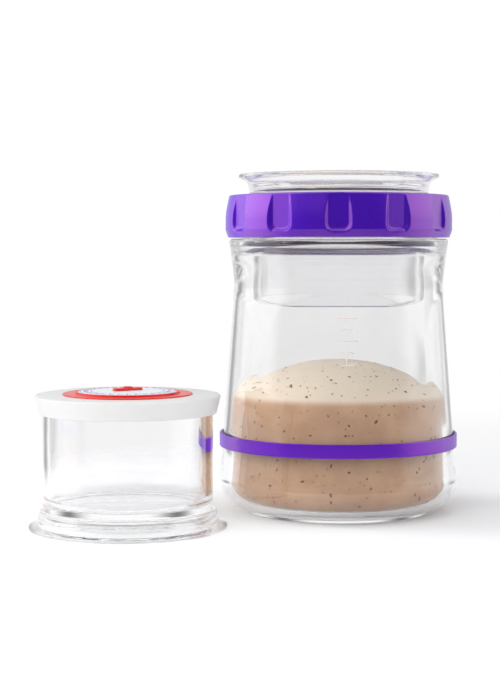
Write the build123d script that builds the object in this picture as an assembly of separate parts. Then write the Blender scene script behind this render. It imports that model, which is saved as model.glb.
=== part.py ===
from build123d import *
from math import cos, radians, sin, tan
import os

# Sourdough starter set: a panelled glass jar with a screwed ring that holds a small glass hanging in its mouth,
# a level band, the starter itself, and a second small glass that stands beside it under a dated lid.
# Lengths are millimetres and +Z is up. The origin is the middle of the jar's flat base, and the front is -Y.

# Clearances that several fits share
seat_gap = 0.1
overrun = 2.0
weld_depth = 0.4

# Jar: heights, radii and walls of the glass
jar_height = 145.0
jar_neck_height = 17.1
jar_heel_radius = 56.0
jar_waist_inset = 7.05
jar_shoulder_inset = 4.8
jar_shoulder_rounding = 1.3
jar_neck_step = 4.6
jar_neck_wall = 3.1
jar_foot_inset = 12.8
jar_foot_height = 1.5
jar_foot_rounding = 0.6
jar_heel_rounding = 13.4
jar_floor = 5.5
jar_wall = 4.1
jar_heel_wall = 5.3
jar_inner_rounding = 9.0
jar_rim_rounding = 1.2

# Jar side: shares of the body's height, and of the way from the waist's radius to the heel's
jar_side_shares = (
    (0.166, 0.915), (0.242, 0.79), (0.313, 0.77), (0.407, 0.745),
    (0.532, 0.62), (0.657, 0.42), (0.766, 0.18), (0.825, 0.0),
)
jar_collar_share = (0.895, 0.3)

# Jar panels: four broad faces, each an arc about a line that lies behind the jar's axis
panel_count = 4
panel_setback = 7.0
panel_low_shares = ((0.03, 2.2), (0.12, 1.45), (0.2, 0.96), (0.281, 0.73))
panel_high_shares = ((0.766, 0.035), (0.85, 0.25), (0.93, 0.95), (1.0, 2.2))

# Thread of the neck and the ring, one start, right-handed
thread_pitch = 6.0
thread_depth = 1.8
thread_base = 3.0
thread_crest = 1.4
thread_turns = 1.25
thread_rise = 3.9
ring_thread_turn_share = 0.28

# Fill scale, raised on the front panel
scale_relief = 0.5
scale_line = 0.7
scale_low_share = 0.565
scale_length = 20.0
scale_step = 5.0
scale_tick = 5.0
scale_long_tick = 9.0
scale_side = 1.4

# Starter: radial gap to the glass, level at the wall, and the risen dome above it, full by a share
starter_gap = 0.4
starter_level = 50.0
starter_dome_height = 21.0
starter_dome_share = 0.55
starter_foot_rounding = 8.6

# Level band: an elastic band round the jar
band_height_share = 0.266
band_width = 6.4
band_thickness = 1.1
band_gap = 0.2
band_rounding = 0.45

# Screw ring
ring_floor_gap = 0.6
ring_wall = 4.1
ring_top_inset = 1.8
ring_foot_inset = 1.3
ring_foot_chamfer = 3.5
ring_taper_height = 8.5
ring_top_rounding = 0.8
ring_plate = 1.3
ring_collar_height = 0.5
ring_collar_width = 1.7
ring_collar_bevel = 1.3
ring_lip = 1.2
ring_bore_gap = 0.5

# Ring flutes: flat-floored notches for the grip, open at the top
flute_count = 12
flute_turn = -3.0
flute_depth = 1.9
flute_half_width = 4.6
flute_bottom = 3.9
flute_corner = 2.2
flute_wall_angle = 45.0

# Gasket between the jar's rim and the ring, with a sleeve that stands up in the ring's opening
gasket_thickness = 1.6
gasket_gap = 0.3
gasket_sleeve_gap = 0.4

# Small glass: the form of the hanging cup, told as it stands on its foot
cup_height = 61.0
cup_mouth_gap = 2.1
cup_wall = 3.3
cup_step_width = 1.5
cup_step_height = 9.1
cup_flange_reach = 6.6
cup_flange_edge = 1.4
cup_flare_reach = 2.4
cup_flare_height = 3.6
cup_flare_rounding = 2.5
cup_floor_height = 11.2
cup_web = 4.2
cup_recess_inset = 3.2
cup_recess_reach = 1.4
cup_edge_rounding = 0.6
cup_rim_rounding = 1.5
cup_inner_rounding = 5.0

# Pot: the same form a size smaller, with its own height, standing beside the jar
pot_share = 0.94
pot_height = 57.0
pot_spacing = 7.7
pot_bearing = 27.4

# Lid of the pot
lid_gap = 0.35
lid_plate = 2.0
lid_drop = 8.2
lid_overhang = 3.9
lid_foot_wall = 1.1
lid_edge_rounding = 0.9
lid_plug_depth = 6.0
lid_plug_wall = 2.6
lid_plug_gap = 1.4
lid_boss_radius = 4.6
lid_boss_length = 7.0

# Seal in a groove round the lid's plug
seal_groove_depth = 0.8
seal_height = 3.2
seal_gap = 0.3
seal_drop = 1.4
seal_slack = 0.05

# Dial bezel, date disc and pointer on top of the lid
bezel_radius = 28.7
bezel_flange = 0.6
bezel_rim_radius = 23.0
bezel_rim_wall = 1.0
bezel_rim_height = 1.5
bezel_inner_radius = 17.0
disc_gap = 0.25
disc_edge = 0.8
disc_crown = 0.2
disc_hub_radius = 8.5
disc_hole_gap = 0.3
pointer_length = 14.0
pointer_width = 4.4
pointer_thickness = 1.1
pointer_bump_radius = 2.3
pointer_bump_height = 0.6
pointer_rounding = 0.5
pointer_angle = 32.0
stem_radius = 1.5
stem_fit = 0.05
stem_tip = 2.6
grommet_radius = 2.8
grommet_length = 2.2
clip_radius = 3.6
clip_thickness = 0.9

# Heights and radii worked out from the sizes above
jar_waist_radius = jar_heel_radius - jar_waist_inset
jar_shoulder_radius = jar_heel_radius - jar_shoulder_inset
jar_foot_radius = jar_heel_radius - jar_foot_inset
jar_neck_radius = jar_shoulder_radius - jar_neck_step
jar_bore_radius = jar_neck_radius - jar_neck_wall
body_height = jar_height - jar_neck_height
heel_height = jar_foot_height + jar_heel_rounding
panel_reach = jar_waist_inset
band_middle = band_height_share * body_height
ring_bottom = body_height + ring_floor_gap
gasket_bottom = jar_height + seat_gap
ring_ceiling = gasket_bottom + gasket_thickness + seat_gap
ring_body_top = ring_ceiling + ring_plate
ring_top = ring_body_top + ring_collar_height
ring_bore_radius = jar_neck_radius + thread_depth + ring_bore_gap
ring_radius = ring_bore_radius + ring_wall
ring_opening_radius = jar_bore_radius - ring_lip
ring_collar_radius = ring_opening_radius + ring_collar_width
sleeve_top = ring_top + seat_gap
cup_top = sleeve_top + seat_gap + cup_step_height
cup_radius = ring_opening_radius - cup_mouth_gap
pot_radius = cup_radius * pot_share
pot_inner_radius = (cup_radius - cup_wall) * pot_share
pot_distance = jar_heel_radius + pot_spacing + (cup_radius + cup_flange_reach) * pot_share
lid_bottom_face = pot_height + seat_gap
lid_top = lid_bottom_face + lid_plate


def spot(radius, height):
    """Point of an outline at a radius from the axis and a height."""
    return Vector(radius, 0, height)


def side_spot(height_share, radius_share):
    """Point of the jar's side, from its share of the body's height and of the reach past the waist."""
    return spot(jar_waist_radius + radius_share * panel_reach, height_share * body_height)


def rounded_edges(corners):
    """Closed run of edges through (radius, height, rounding) corners, with an arc at each rounded one."""
    bends = []
    for index, (radius, height, rounding) in enumerate(corners):
        here = spot(radius, height)
        before = spot(*corners[index - 1][:2])
        after = spot(*corners[(index + 1) % len(corners)][:2])
        if rounding == 0:
            bends.append((here, None, here))
            continue
        back = (before - here).normalized()
        ahead = (after - here).normalized()
        half_angle = radians(back.get_angle(ahead)) / 2
        reach = rounding / tan(half_angle)
        centre = here + (back + ahead).normalized() * (rounding / sin(half_angle))
        middle = centre + (here - centre).normalized() * rounding
        bends.append((here + back * reach, middle, here + ahead * reach))
    edges = []
    for index, (start, middle, end) in enumerate(bends):
        if middle is not None:
            edges.append(ThreePointArc(start, middle, end))
        following = bends[(index + 1) % len(bends)][0]
        edges.append(Line(end, following))
    return edges


def turned(edges):
    """Solid made by turning a closed outline about the Z axis."""
    return revolve(make_face(edges), Axis.Z)


def turned_corners(corners):
    """Solid made by turning an outline of rounded corners about the Z axis."""
    return turned(rounded_edges(corners))


def side_radius(height):
    """Radius of the jar's round core at a height, read between the points of its side."""
    points = [spot(jar_heel_radius, heel_height)]
    points += [side_spot(*shares) for shares in jar_side_shares]
    for low, high in zip(points, points[1:]):
        if height <= high.Z:
            way = (height - low.Z) / (high.Z - low.Z)
            return low.X + way * (high.X - low.X)
    return points[-1].X


def inner_radius(height):
    """Radius of the jar's inside along its straight wall."""
    low = spot(jar_heel_radius - jar_heel_wall, jar_floor + jar_inner_rounding)
    high = spot(jar_waist_radius - jar_wall, jar_side_shares[-1][0] * body_height)
    way = (height - low.Z) / (high.Z - low.Z)
    return low.X + way * (high.X - low.X)


def thread(root_radius, crest_radius, start_height, start_angle):
    """One helical thread between two radii, rising with the turn."""
    weld = weld_depth if crest_radius > root_radius else -weld_depth
    profile = make_face(Polyline(
        spot(root_radius - weld, -thread_base / 2),
        spot(crest_radius, -thread_crest / 2),
        spot(crest_radius, thread_crest / 2),
        spot(root_radius - weld, thread_base / 2),
        close=True,
    ))
    path = Helix(thread_pitch, thread_pitch * thread_turns, root_radius)
    return Pos(0, 0, start_height) * Rot(0, 0, start_angle) * sweep(profile, path, is_frenet=True)


def jar_core():
    """Round body and neck of the jar, before its panels and its inside are cut."""
    heel = spot(jar_heel_radius, heel_height)
    heel_centre = spot(jar_heel_radius - jar_heel_rounding, heel_height)
    heel_start = heel_centre - spot(0, jar_heel_rounding)
    heel_middle = heel_centre + (heel + heel_start - heel_centre * 2).normalized() * jar_heel_rounding
    shoulder = spot(jar_shoulder_radius, body_height - jar_shoulder_rounding)
    ledge = spot(jar_shoulder_radius - jar_shoulder_rounding, body_height)
    ledge_centre = spot(jar_shoulder_radius - jar_shoulder_rounding, body_height - jar_shoulder_rounding)
    ledge_middle = ledge_centre + (shoulder + ledge - ledge_centre * 2).normalized() * jar_shoulder_rounding
    collar_height_share, collar_radius_share = jar_collar_share
    collar_radius = jar_waist_radius + collar_radius_share * (jar_shoulder_radius - jar_waist_radius)
    collar = spot(collar_radius, collar_height_share * body_height)
    side = [side_spot(*shares) for shares in jar_side_shares]
    foot_edge = spot(jar_foot_radius - jar_foot_rounding, 0)
    foot_side = spot(jar_foot_radius, jar_foot_rounding)
    foot_top = spot(jar_foot_radius, jar_foot_height)
    neck_foot = spot(jar_neck_radius, body_height)
    neck_top = spot(jar_neck_radius, jar_height)
    return turned([
        Line(spot(0, 0), foot_edge),
        Line(foot_edge, foot_side),
        Line(foot_side, foot_top),
        Line(foot_top, heel_start),
        ThreePointArc(heel_start, heel_middle, heel),
        Spline(heel, *side, collar, shoulder, tangents=(Vector(0, 0, 1), shoulder - collar)),
        ThreePointArc(shoulder, ledge_middle, ledge),
        Line(ledge, neck_foot),
        Line(neck_foot, neck_top),
        Line(neck_top, spot(0, jar_height)),
        Line(spot(0, jar_height), spot(0, 0)),
    ])


def panel_solid(growth):
    """Solid that bounds the front panel: it is nearer than the core only along the panel."""
    outward = spot(panel_setback + growth, 0)
    low = [side_spot(*shares) + outward for shares in panel_low_shares]
    high = [side_spot(*shares) + outward for shares in panel_high_shares]
    slope = high[0] - low[-1]
    base = spot(low[0].X, -overrun)
    roof = spot(high[-1].X, jar_height + overrun)
    solid = turned([
        Line(spot(0, -overrun), base),
        Line(base, low[0]),
        Spline(*low, tangents=(low[1] - low[0], slope)),
        Line(low[-1], high[0]),
        Spline(*high, tangents=(slope, high[-1] - high[-2])),
        Line(high[-1], roof),
        Line(roof, spot(0, roof.Z)),
        Line(spot(0, roof.Z), spot(0, -overrun)),
    ])
    return Pos(0, panel_setback, 0) * solid


def jar_inside():
    """Space inside the jar, open at the mouth."""
    heel_radius = jar_heel_radius - jar_heel_wall
    heel_top = jar_floor + jar_inner_rounding
    heel_centre = spot(heel_radius - jar_inner_rounding, heel_top)
    heel_start = heel_centre - spot(0, jar_inner_rounding)
    heel_end = spot(heel_radius, heel_top)
    heel_middle = heel_centre + (heel_start + heel_end - heel_centre * 2).normalized() * jar_inner_rounding
    waist_height = jar_side_shares[-1][0] * body_height
    waist = spot(jar_waist_radius - jar_wall, waist_height)
    bulge = spot(jar_shoulder_radius - jar_wall, body_height - jar_wall)
    throat = spot(jar_bore_radius, body_height + jar_wall / 2)
    mouth = spot(jar_bore_radius, jar_height + overrun)
    up = Vector(0, 0, 1)
    return turned([
        Line(spot(0, jar_floor), heel_start),
        ThreePointArc(heel_start, heel_middle, heel_end),
        Line(heel_end, waist),
        Spline(waist, bulge, throat, tangents=(waist - heel_end, up)),
        Line(throat, mouth),
        Line(mouth, spot(0, mouth.Z)),
        Line(spot(0, mouth.Z), spot(0, jar_floor)),
    ])


def raised_scale():
    """Upright line with level ticks, standing proud of the front panel."""
    low = scale_low_share * body_height
    line_middle = Vector(scale_side, -jar_heel_radius, low + scale_length / 2)
    bars = [Pos(line_middle) * Box(scale_line, 2 * panel_reach + 2 * jar_wall, scale_length)]
    tick_count = int(scale_length / scale_step) + 1
    for index in range(tick_count):
        length = scale_long_tick if index % 2 == 0 else scale_tick
        place = Vector(scale_side, -jar_heel_radius, low + index * scale_step)
        bars.append(Pos(place) * Box(length, 2 * panel_reach + 2 * jar_wall, scale_line))
    joined = bars[0]
    for bar in bars[1:]:
        joined = joined + bar
    return joined & panel_solid(scale_relief)


def jar_glass():
    """Jar: panelled body, threaded neck, thick floor and the raised fill scale."""
    body = jar_core()
    front = panel_solid(0)
    for index in range(panel_count):
        body = body & (Rot(0, 0, index * 360 / panel_count) * front)
    rim = body.edges().group_by(Axis.Z)[-1]
    body = fillet(rim, jar_rim_rounding)
    body = body + raised_scale() - jar_inside()
    mouth = body.edges().filter_by(GeomType.CIRCLE).group_by(Axis.Z)[-1].sort_by(SortBy.RADIUS)[0]
    body = fillet(mouth, jar_rim_rounding)
    crest_radius = jar_neck_radius + thread_depth
    return body + thread(jar_neck_radius, crest_radius, body_height + thread_rise, 0)


def starter_dough():
    """Starter: fills the jar's foot and rises in a broad dome."""
    foot_radius = inner_radius(jar_floor + jar_inner_rounding) - starter_gap
    wall_radius = inner_radius(starter_level) - starter_gap
    foot = jar_floor + starter_gap
    foot_turn = foot + starter_foot_rounding
    centre = spot(foot_radius - starter_foot_rounding, foot_turn)
    start = centre - spot(0, starter_foot_rounding)
    end = spot(foot_radius, foot_turn)
    middle = centre + (start + end - centre * 2).normalized() * starter_foot_rounding
    edge = spot(wall_radius, starter_level)
    crown = spot(0, starter_level + starter_dome_height)
    edge_pull = edge + spot(0, starter_dome_share * starter_dome_height)
    crown_pull = crown + spot(starter_dome_share * wall_radius, 0)
    return turned([
        Line(spot(0, foot), start),
        ThreePointArc(start, middle, end),
        Line(end, edge),
        Bezier(edge, edge_pull, crown_pull, crown),
        Line(crown, spot(0, foot)),
    ])


def level_band():
    """Elastic band that marks the starter's level."""
    low = band_middle - band_width / 2
    high = band_middle + band_width / 2
    inner = max(side_radius(low), side_radius(high)) + band_gap
    outer = inner + band_thickness
    return turned_corners([
        (inner, low, band_rounding),
        (outer, low, band_rounding),
        (outer, high, band_rounding),
        (inner, high, band_rounding),
    ])


def flute_cutter():
    """Cutter for one grip notch at the front: a flat floor, sloped walls and rounded lower corners."""
    low = ring_bottom + flute_bottom
    high = ring_top + overrun
    floor_plane = Plane(origin=(0, -(ring_radius - flute_depth), 0), x_dir=(1, 0, 0), z_dir=(0, -1, 0))
    middle = (low + high) / 2
    floor = Pos(0, middle) * RectangleRounded(2 * flute_half_width, high - low, flute_corner)
    return extrude(floor_plane * floor, flute_depth + overrun, taper=-flute_wall_angle)


def screw_ring():
    """Screw ring: fluted wall, top plate with a raised collar, and an inner thread."""
    taper_start = ring_body_top - ring_taper_height
    ring = turned_corners([
        (ring_bore_radius, ring_bottom, 0),
        (ring_radius - ring_foot_inset, ring_bottom, 0),
        (ring_radius, ring_bottom + ring_foot_chamfer, 0),
        (ring_radius, taper_start, 0),
        (ring_radius - ring_top_inset, ring_body_top, ring_top_rounding),
        (ring_collar_radius, ring_body_top, 0),
        (ring_collar_radius - ring_collar_bevel, ring_top, 0),
        (ring_opening_radius, ring_top, 0),
        (ring_opening_radius, ring_ceiling, 0),
        (ring_bore_radius, ring_ceiling, 0),
    ])
    cutter = flute_cutter()
    for index in range(flute_count):
        ring = ring - Rot(0, 0, flute_turn + index * 360 / flute_count) * cutter
    crest_radius = ring_bore_radius - thread_depth
    start_height = body_height + thread_rise - thread_pitch / 2 + ring_thread_turn_share * thread_pitch
    return ring + thread(ring_bore_radius, crest_radius, start_height, 360 * ring_thread_turn_share)


def ring_gasket():
    """Soft gasket: a flat washer on the rim and a sleeve that carries the hanging cup's step."""
    sleeve_inner = cup_radius + gasket_gap
    sleeve_outer = ring_opening_radius - gasket_sleeve_gap
    washer_top = gasket_bottom + gasket_thickness
    washer_outer = jar_neck_radius + thread_depth
    return turned_corners([
        (sleeve_inner, gasket_bottom, 0),
        (washer_outer, gasket_bottom, 0),
        (washer_outer, washer_top, 0),
        (sleeve_outer, washer_top, 0),
        (sleeve_outer, sleeve_top, 0),
        (sleeve_inner, sleeve_top, 0),
    ])


def small_glass(share, height):
    """Straight glass on a flared hollow foot, standing on Z = 0; share sizes all but the height."""
    roof = (cup_floor_height - cup_web) * share
    floor = cup_floor_height * share
    rim = cup_rim_rounding * share
    edge = cup_edge_rounding * share
    outer = cup_radius * share
    inner = outer - cup_wall * share
    return turned_corners([
        (0, roof, 0),
        (outer - cup_recess_inset * share, roof, cup_flare_rounding * share),
        (outer + cup_recess_reach * share, 0, edge),
        (outer + cup_flange_reach * share, 0, edge),
        (outer + cup_flange_reach * share, cup_flange_edge * share, edge),
        (outer + cup_flare_reach * share, cup_flare_height * share, cup_flare_rounding * share),
        (outer + cup_step_width * share, cup_step_height * share, edge),
        (outer, cup_step_height * share, 0),
        (outer, height, rim),
        (inner, height, rim),
        (inner, floor, cup_inner_rounding * share),
        (0, floor, 0),
    ])


def at_pot(solid):
    """Moves a solid from the axis to the pot's place beside the jar."""
    side = -pot_distance * cos(radians(pot_bearing))
    front = -pot_distance * sin(radians(pot_bearing))
    return Pos(side, front, 0) * solid


def lid_shell():
    """Lid: tapered skirt, flat top, inner plug with a groove, and a bored boss for the pointer's stem."""
    skirt_inner = pot_radius + lid_gap
    skirt_bottom = lid_top - lid_drop
    plug_outer = pot_inner_radius - lid_plug_gap
    plug_inner = plug_outer - lid_plug_wall
    plug_bottom = lid_bottom_face - lid_plug_depth
    groove_top = lid_bottom_face - seal_drop
    groove_bottom = groove_top - seal_height
    groove_radius = plug_outer - seal_groove_depth
    boss_bottom = lid_top - lid_boss_length
    pocket_top = boss_bottom + grommet_length
    return turned_corners([
        (stem_radius + stem_fit, lid_top, 0),
        (pot_radius + lid_overhang, lid_top, lid_edge_rounding),
        (skirt_inner + lid_foot_wall, skirt_bottom, 0),
        (skirt_inner, skirt_bottom, 0),
        (skirt_inner, lid_bottom_face, 0),
        (plug_outer, lid_bottom_face, 0),
        (plug_outer, groove_top, 0),
        (groove_radius, groove_top, 0),
        (groove_radius, groove_bottom, 0),
        (plug_outer, groove_bottom, 0),
        (plug_outer, plug_bottom, 0),
        (plug_inner, plug_bottom, 0),
        (plug_inner, lid_bottom_face, 0),
        (lid_boss_radius, lid_bottom_face, 0),
        (lid_boss_radius, boss_bottom, 0),
        (grommet_radius, boss_bottom, 0),
        (grommet_radius, pocket_top, 0),
        (stem_radius + stem_fit, pocket_top, 0),
    ])


def lid_seal():
    """Soft ring in the plug's groove, with two lips that reach for the glass."""
    inner = pot_inner_radius - lid_plug_gap - seal_groove_depth + seal_slack
    outer = pot_inner_radius - seal_gap
    waist = outer - seal_groove_depth / 2
    high = lid_bottom_face - seal_drop - seal_slack
    low = high - seal_height + 2 * seal_slack
    middle = (low + high) / 2
    return turned_corners([
        (inner, low, 0),
        (outer, low, 0),
        (waist, middle, 0),
        (outer, high, 0),
        (inner, high, 0),
    ])


def stem_grommet():
    """Soft bush in the foot of the lid's boss, round the pointer's stem."""
    low = lid_top - lid_boss_length
    return turned_corners([
        (stem_radius + stem_fit, low + seal_slack, 0),
        (grommet_radius - seal_slack, low + seal_slack, 0),
        (grommet_radius - seal_slack, low + grommet_length - seal_slack, 0),
        (stem_radius + stem_fit, low + grommet_length - seal_slack, 0),
    ])


def dial_bezel():
    """Bezel: a flat ring on the lid with a raised rim that the date disc turns in."""
    rim_inner = bezel_rim_radius - bezel_rim_wall
    rim_top = lid_top + bezel_rim_height
    flange_top = lid_top + bezel_flange
    return turned_corners([
        (bezel_inner_radius, lid_top, 0),
        (bezel_radius, lid_top, 0),
        (bezel_radius, flange_top, 0),
        (bezel_rim_radius, flange_top, 0),
        (bezel_rim_radius, rim_top, 0),
        (rim_inner, rim_top, 0),
        (rim_inner, flange_top, 0),
        (bezel_inner_radius, flange_top, 0),
    ])


def date_disc():
    """Date disc: crowned towards a flat hub, bored for the pointer's stem."""
    hole = stem_radius + disc_hole_gap
    outer = bezel_rim_radius - bezel_rim_wall - disc_gap
    low = lid_top + bezel_flange + seat_gap
    edge_top = low + disc_edge
    hub_top = edge_top + disc_crown
    return turned_corners([
        (hole, low, 0),
        (outer, low, 0),
        (outer, edge_top, 0),
        (disc_hub_radius, hub_top, 0),
        (hole, hub_top, 0),
    ])


def pointer_knob():
    """Pointer: a short grip bar with a round bump, on a stem that runs down through the lid."""
    low = lid_top + bezel_flange + seat_gap + disc_edge + disc_crown + seat_gap
    bar = Pos(0, 0, low + pointer_thickness / 2) * Box(pointer_length, pointer_width, pointer_thickness)
    bar = fillet(bar.edges().filter_by(Axis.Z), pointer_width / 2 - pointer_rounding)
    bar = fillet(bar.faces().sort_by(Axis.Z)[-1].edges(), pointer_rounding)
    bump_height = pointer_thickness / 2 + pointer_bump_height
    bump = Pos(0, 0, low + pointer_thickness / 2 + bump_height / 2) * Cylinder(pointer_bump_radius, bump_height)
    bump = fillet(bump.edges().group_by(Axis.Z)[-1], pointer_rounding)
    stem_bottom = lid_top - lid_boss_length - stem_tip
    stem_length = low + pointer_thickness / 2 - stem_bottom
    stem = Pos(0, 0, stem_bottom + stem_length / 2) * Cylinder(stem_radius, stem_length)
    return Rot(0, 0, pointer_angle) * (bar + bump + stem)


def knob_clip():
    """Push-on washer that keeps the pointer's stem in the boss."""
    high = lid_top - lid_boss_length - seat_gap
    return turned_corners([
        (stem_radius, high - clip_thickness, 0),
        (clip_radius, high - clip_thickness, 0),
        (clip_radius, high, 0),
        (stem_radius, high, 0),
    ])


def main():
    """Builds every piece and writes each to its own file."""
    os.makedirs("parts", exist_ok=True)
    hanging = Pos(0, 0, cup_top) * Rot(180, 0, 0) * small_glass(1, cup_height)
    pieces = {
        "jar_glass": jar_glass(),
        "starter_dough": starter_dough(),
        "level_band": level_band(),
        "screw_ring": screw_ring(),
        "ring_gasket": ring_gasket(),
        "hanging_cup": hanging,
        "pot_glass": at_pot(small_glass(pot_share, pot_height)),
        "lid_shell": at_pot(lid_shell()),
        "lid_seal": at_pot(lid_seal()),
        "stem_grommet": at_pot(stem_grommet()),
        "dial_bezel": at_pot(dial_bezel()),
        "date_disc": at_pot(date_disc()),
        "pointer_knob": at_pot(pointer_knob()),
        "knob_clip": at_pot(knob_clip()),
    }
    for name, piece in pieces.items():
        export_step(piece, f"parts/{name}.step")


main()
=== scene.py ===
"""Looks of a sourdough starter set: a panelled jar under a fluted ring, and a small pot under a dated lid."""
import logging
import math
from dataclasses import dataclass, field
from enum import Enum
from typing import Callable, Optional, Sequence

import bmesh
import bpy
import numpy as np
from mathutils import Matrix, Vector, noise


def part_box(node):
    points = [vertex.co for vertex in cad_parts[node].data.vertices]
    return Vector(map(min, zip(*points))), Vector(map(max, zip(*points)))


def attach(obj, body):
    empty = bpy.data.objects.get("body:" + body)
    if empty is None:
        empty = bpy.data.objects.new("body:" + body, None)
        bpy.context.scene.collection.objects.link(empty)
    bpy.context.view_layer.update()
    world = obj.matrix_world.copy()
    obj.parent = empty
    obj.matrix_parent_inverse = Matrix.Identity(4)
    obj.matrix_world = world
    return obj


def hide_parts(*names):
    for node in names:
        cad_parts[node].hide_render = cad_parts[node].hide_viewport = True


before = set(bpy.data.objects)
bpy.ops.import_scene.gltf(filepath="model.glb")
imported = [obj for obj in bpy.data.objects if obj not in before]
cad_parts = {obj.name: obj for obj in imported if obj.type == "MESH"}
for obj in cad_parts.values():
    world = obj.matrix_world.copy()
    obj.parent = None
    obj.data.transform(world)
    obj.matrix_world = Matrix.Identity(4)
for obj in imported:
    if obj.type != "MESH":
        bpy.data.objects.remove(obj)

# Sizes below are millimetres, and meshes are written in metres. A turn is an angle in radians that starts at
# the front, -Y, and grows anticlockwise as seen from above. LOW and HIGH are the corners of a box, and X and
# Z its axes. Points whose radii differ by less than NEAR lie on one surface, and points nearer the Z axis
# than ON_AXIS lie on it.
MM = 0.001
TAU = 2 * math.pi
LOW, HIGH = 0, 1
X, Z = 0, 2
NEAR = 0.01
ON_AXIS = 1e-9
LOG = logging.getLogger("starter_set")

Point = tuple[float, float]
Corner = tuple[float, float, float]
Shape = Callable[[np.ndarray, np.ndarray, np.ndarray], np.ndarray]


class Body(Enum):
    """Bodies of the frame that pieces ride on."""

    JAR = "jar"
    BAND = "band"
    RING = "ring"
    GASKET = "gasket"
    CUP = "cup"
    POT = "pot"
    LID = "lid"
    DISC = "disc"
    POINTER = "pointer"


# Numbers and colours


def linear(hex_colour: str) -> tuple[float, float, float, float]:
    """Turns a written screen colour into the linear colour that shaders use.

    Args:
        hex_colour: colour as #RRGGBB.

    Returns:
        Linear red, green and blue, and full opacity.
    """
    shares = [int(hex_colour[start:start + 2], 16) / 255 for start in (1, 3, 5)]
    red, green, blue = [s / 12.92 if s <= 0.04045 else ((s + 0.055) / 1.055) ** 2.4 for s in shares]
    return red, green, blue, 1.0


def smooth_min(first: np.ndarray, second: np.ndarray, width: float) -> np.ndarray:
    """Lesser of two fields, with a rounded change from one to the other.

    Args:
        first: one field.
        second: the other field, of the same shape.
        width: difference between the fields within which the change is rounded.

    Returns:
        The rounded lesser field.
    """
    share = np.clip(0.5 + 0.5 * (second - first) / width, 0, 1)
    return second * (1 - share) + first * share - width * share * (1 - share)


def unit(vector: np.ndarray) -> np.ndarray:
    """Vector of length one along another."""
    return vector / np.linalg.norm(vector)


def box_mm(node: str) -> tuple[np.ndarray, np.ndarray]:
    """Lowest and highest corner of a node of the frame, in millimetres."""
    low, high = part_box(node)
    return np.array(low) / MM, np.array(high) / MM


def frame_size(node: str, corner: int, axis: int) -> float:
    """Field of a dataclass that is read from the box of a node.

    Args:
        node: node of the frame.
        corner: LOW or HIGH.
        axis: X or Z.

    Returns:
        The field, which gives the size in millimetres.
    """
    return field(default_factory=lambda: float(box_mm(node)[corner][axis]))


def frame_reach(node: str) -> float:
    """Field of a dataclass: how far a node reaches from the jar's axis along X or Y, whichever is less."""
    return field(default_factory=lambda: float(min(box_mm(node)[HIGH][:2])))


@dataclass(frozen=True)
class HeightCurve:
    """Smooth radius over height through given points, with one span kept straight where it is named."""

    points: tuple[Point, ...]
    end_slopes: tuple[Optional[float], Optional[float]] = (None, None)
    straight_span: Optional[int] = None

    def slopes(self) -> np.ndarray:
        """Works out how the radius changes with height at each point.

        Returns:
            Slopes, one for each point.
        """
        radius, height = np.array(self.points).T
        steps = np.diff(height)
        rates = np.diff(radius) / steps
        inner = (steps[1:] * rates[:-1] + steps[:-1] * rates[1:]) / (steps[1:] + steps[:-1])
        first = rates[0] if self.end_slopes[0] is None else self.end_slopes[0]
        last = rates[-1] if self.end_slopes[1] is None else self.end_slopes[1]
        slopes = np.concatenate([[first], inner, [last]])
        if self.straight_span is not None:
            slopes[self.straight_span:self.straight_span + 2] = rates[self.straight_span]
        return slopes

    def radius(self, height: np.ndarray) -> np.ndarray:
        """Radius at each height, with the end values beyond the ends.

        Args:
            height: heights to read.

        Returns:
            Radii in the same shape.
        """
        radii, heights = np.array(self.points).T
        slopes = self.slopes()
        inside = np.clip(height, heights[0], heights[-1])
        low = np.clip(np.searchsorted(heights, inside, side="right") - 1, 0, len(heights) - 2)
        step = heights[low + 1] - heights[low]
        way = (inside - heights[low]) / step
        back = 1 - way
        return (
            (1 + 2 * way) * back**2 * radii[low] + way * back**2 * step * slopes[low]
            + way**2 * (3 - 2 * way) * radii[low + 1] - way**2 * back * step * slopes[low + 1]
        )


def smooth_run(points: Sequence[Point], tangents: tuple[Point, Point], steps: int) -> list[Point]:
    """Smooth line through points of an outline.

    Args:
        points: points that it passes through.
        tangents: directions at its start and end.
        steps: number of steps between two of the points.

    Returns:
        Points along the line, from the first to the last.
    """
    spots = np.array(points, float)
    spans = np.linalg.norm(np.diff(spots, axis=0), axis=1)
    rates = np.diff(spots, axis=0) / spans[:, None]
    inner = (spans[1:, None] * rates[:-1] + spans[:-1, None] * rates[1:]) / (spans[1:] + spans[:-1])[:, None]
    ways = np.vstack([unit(np.array(tangents[0], float)), inner, unit(np.array(tangents[1], float))])
    line = []
    for index, span in enumerate(spans):
        share = np.linspace(0, 1, steps, endpoint=False)[:, None]
        back = 1 - share
        line.extend(
            (1 + 2 * share) * back**2 * spots[index] + share * back**2 * span * ways[index]
            + share**2 * (3 - 2 * share) * spots[index + 1] - share**2 * back * span * ways[index + 1]
        )
    line.append(spots[-1])
    return [(float(radius), float(height)) for radius, height in line]


def arc_run(centre: Point, radius: float, start: float, end: float, steps: int) -> list[Point]:
    """Points along an arc of an outline.

    Args:
        centre: middle of the arc.
        radius: its radius.
        start: angle of its start in degrees, from outwards to up.
        end: angle of its end in degrees.
        steps: number of steps along it.

    Returns:
        Points from start to end.
    """
    angles = np.radians(np.linspace(start, end, steps + 1))
    return [(centre[0] + radius * math.cos(a), centre[1] + radius * math.sin(a)) for a in angles]


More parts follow.
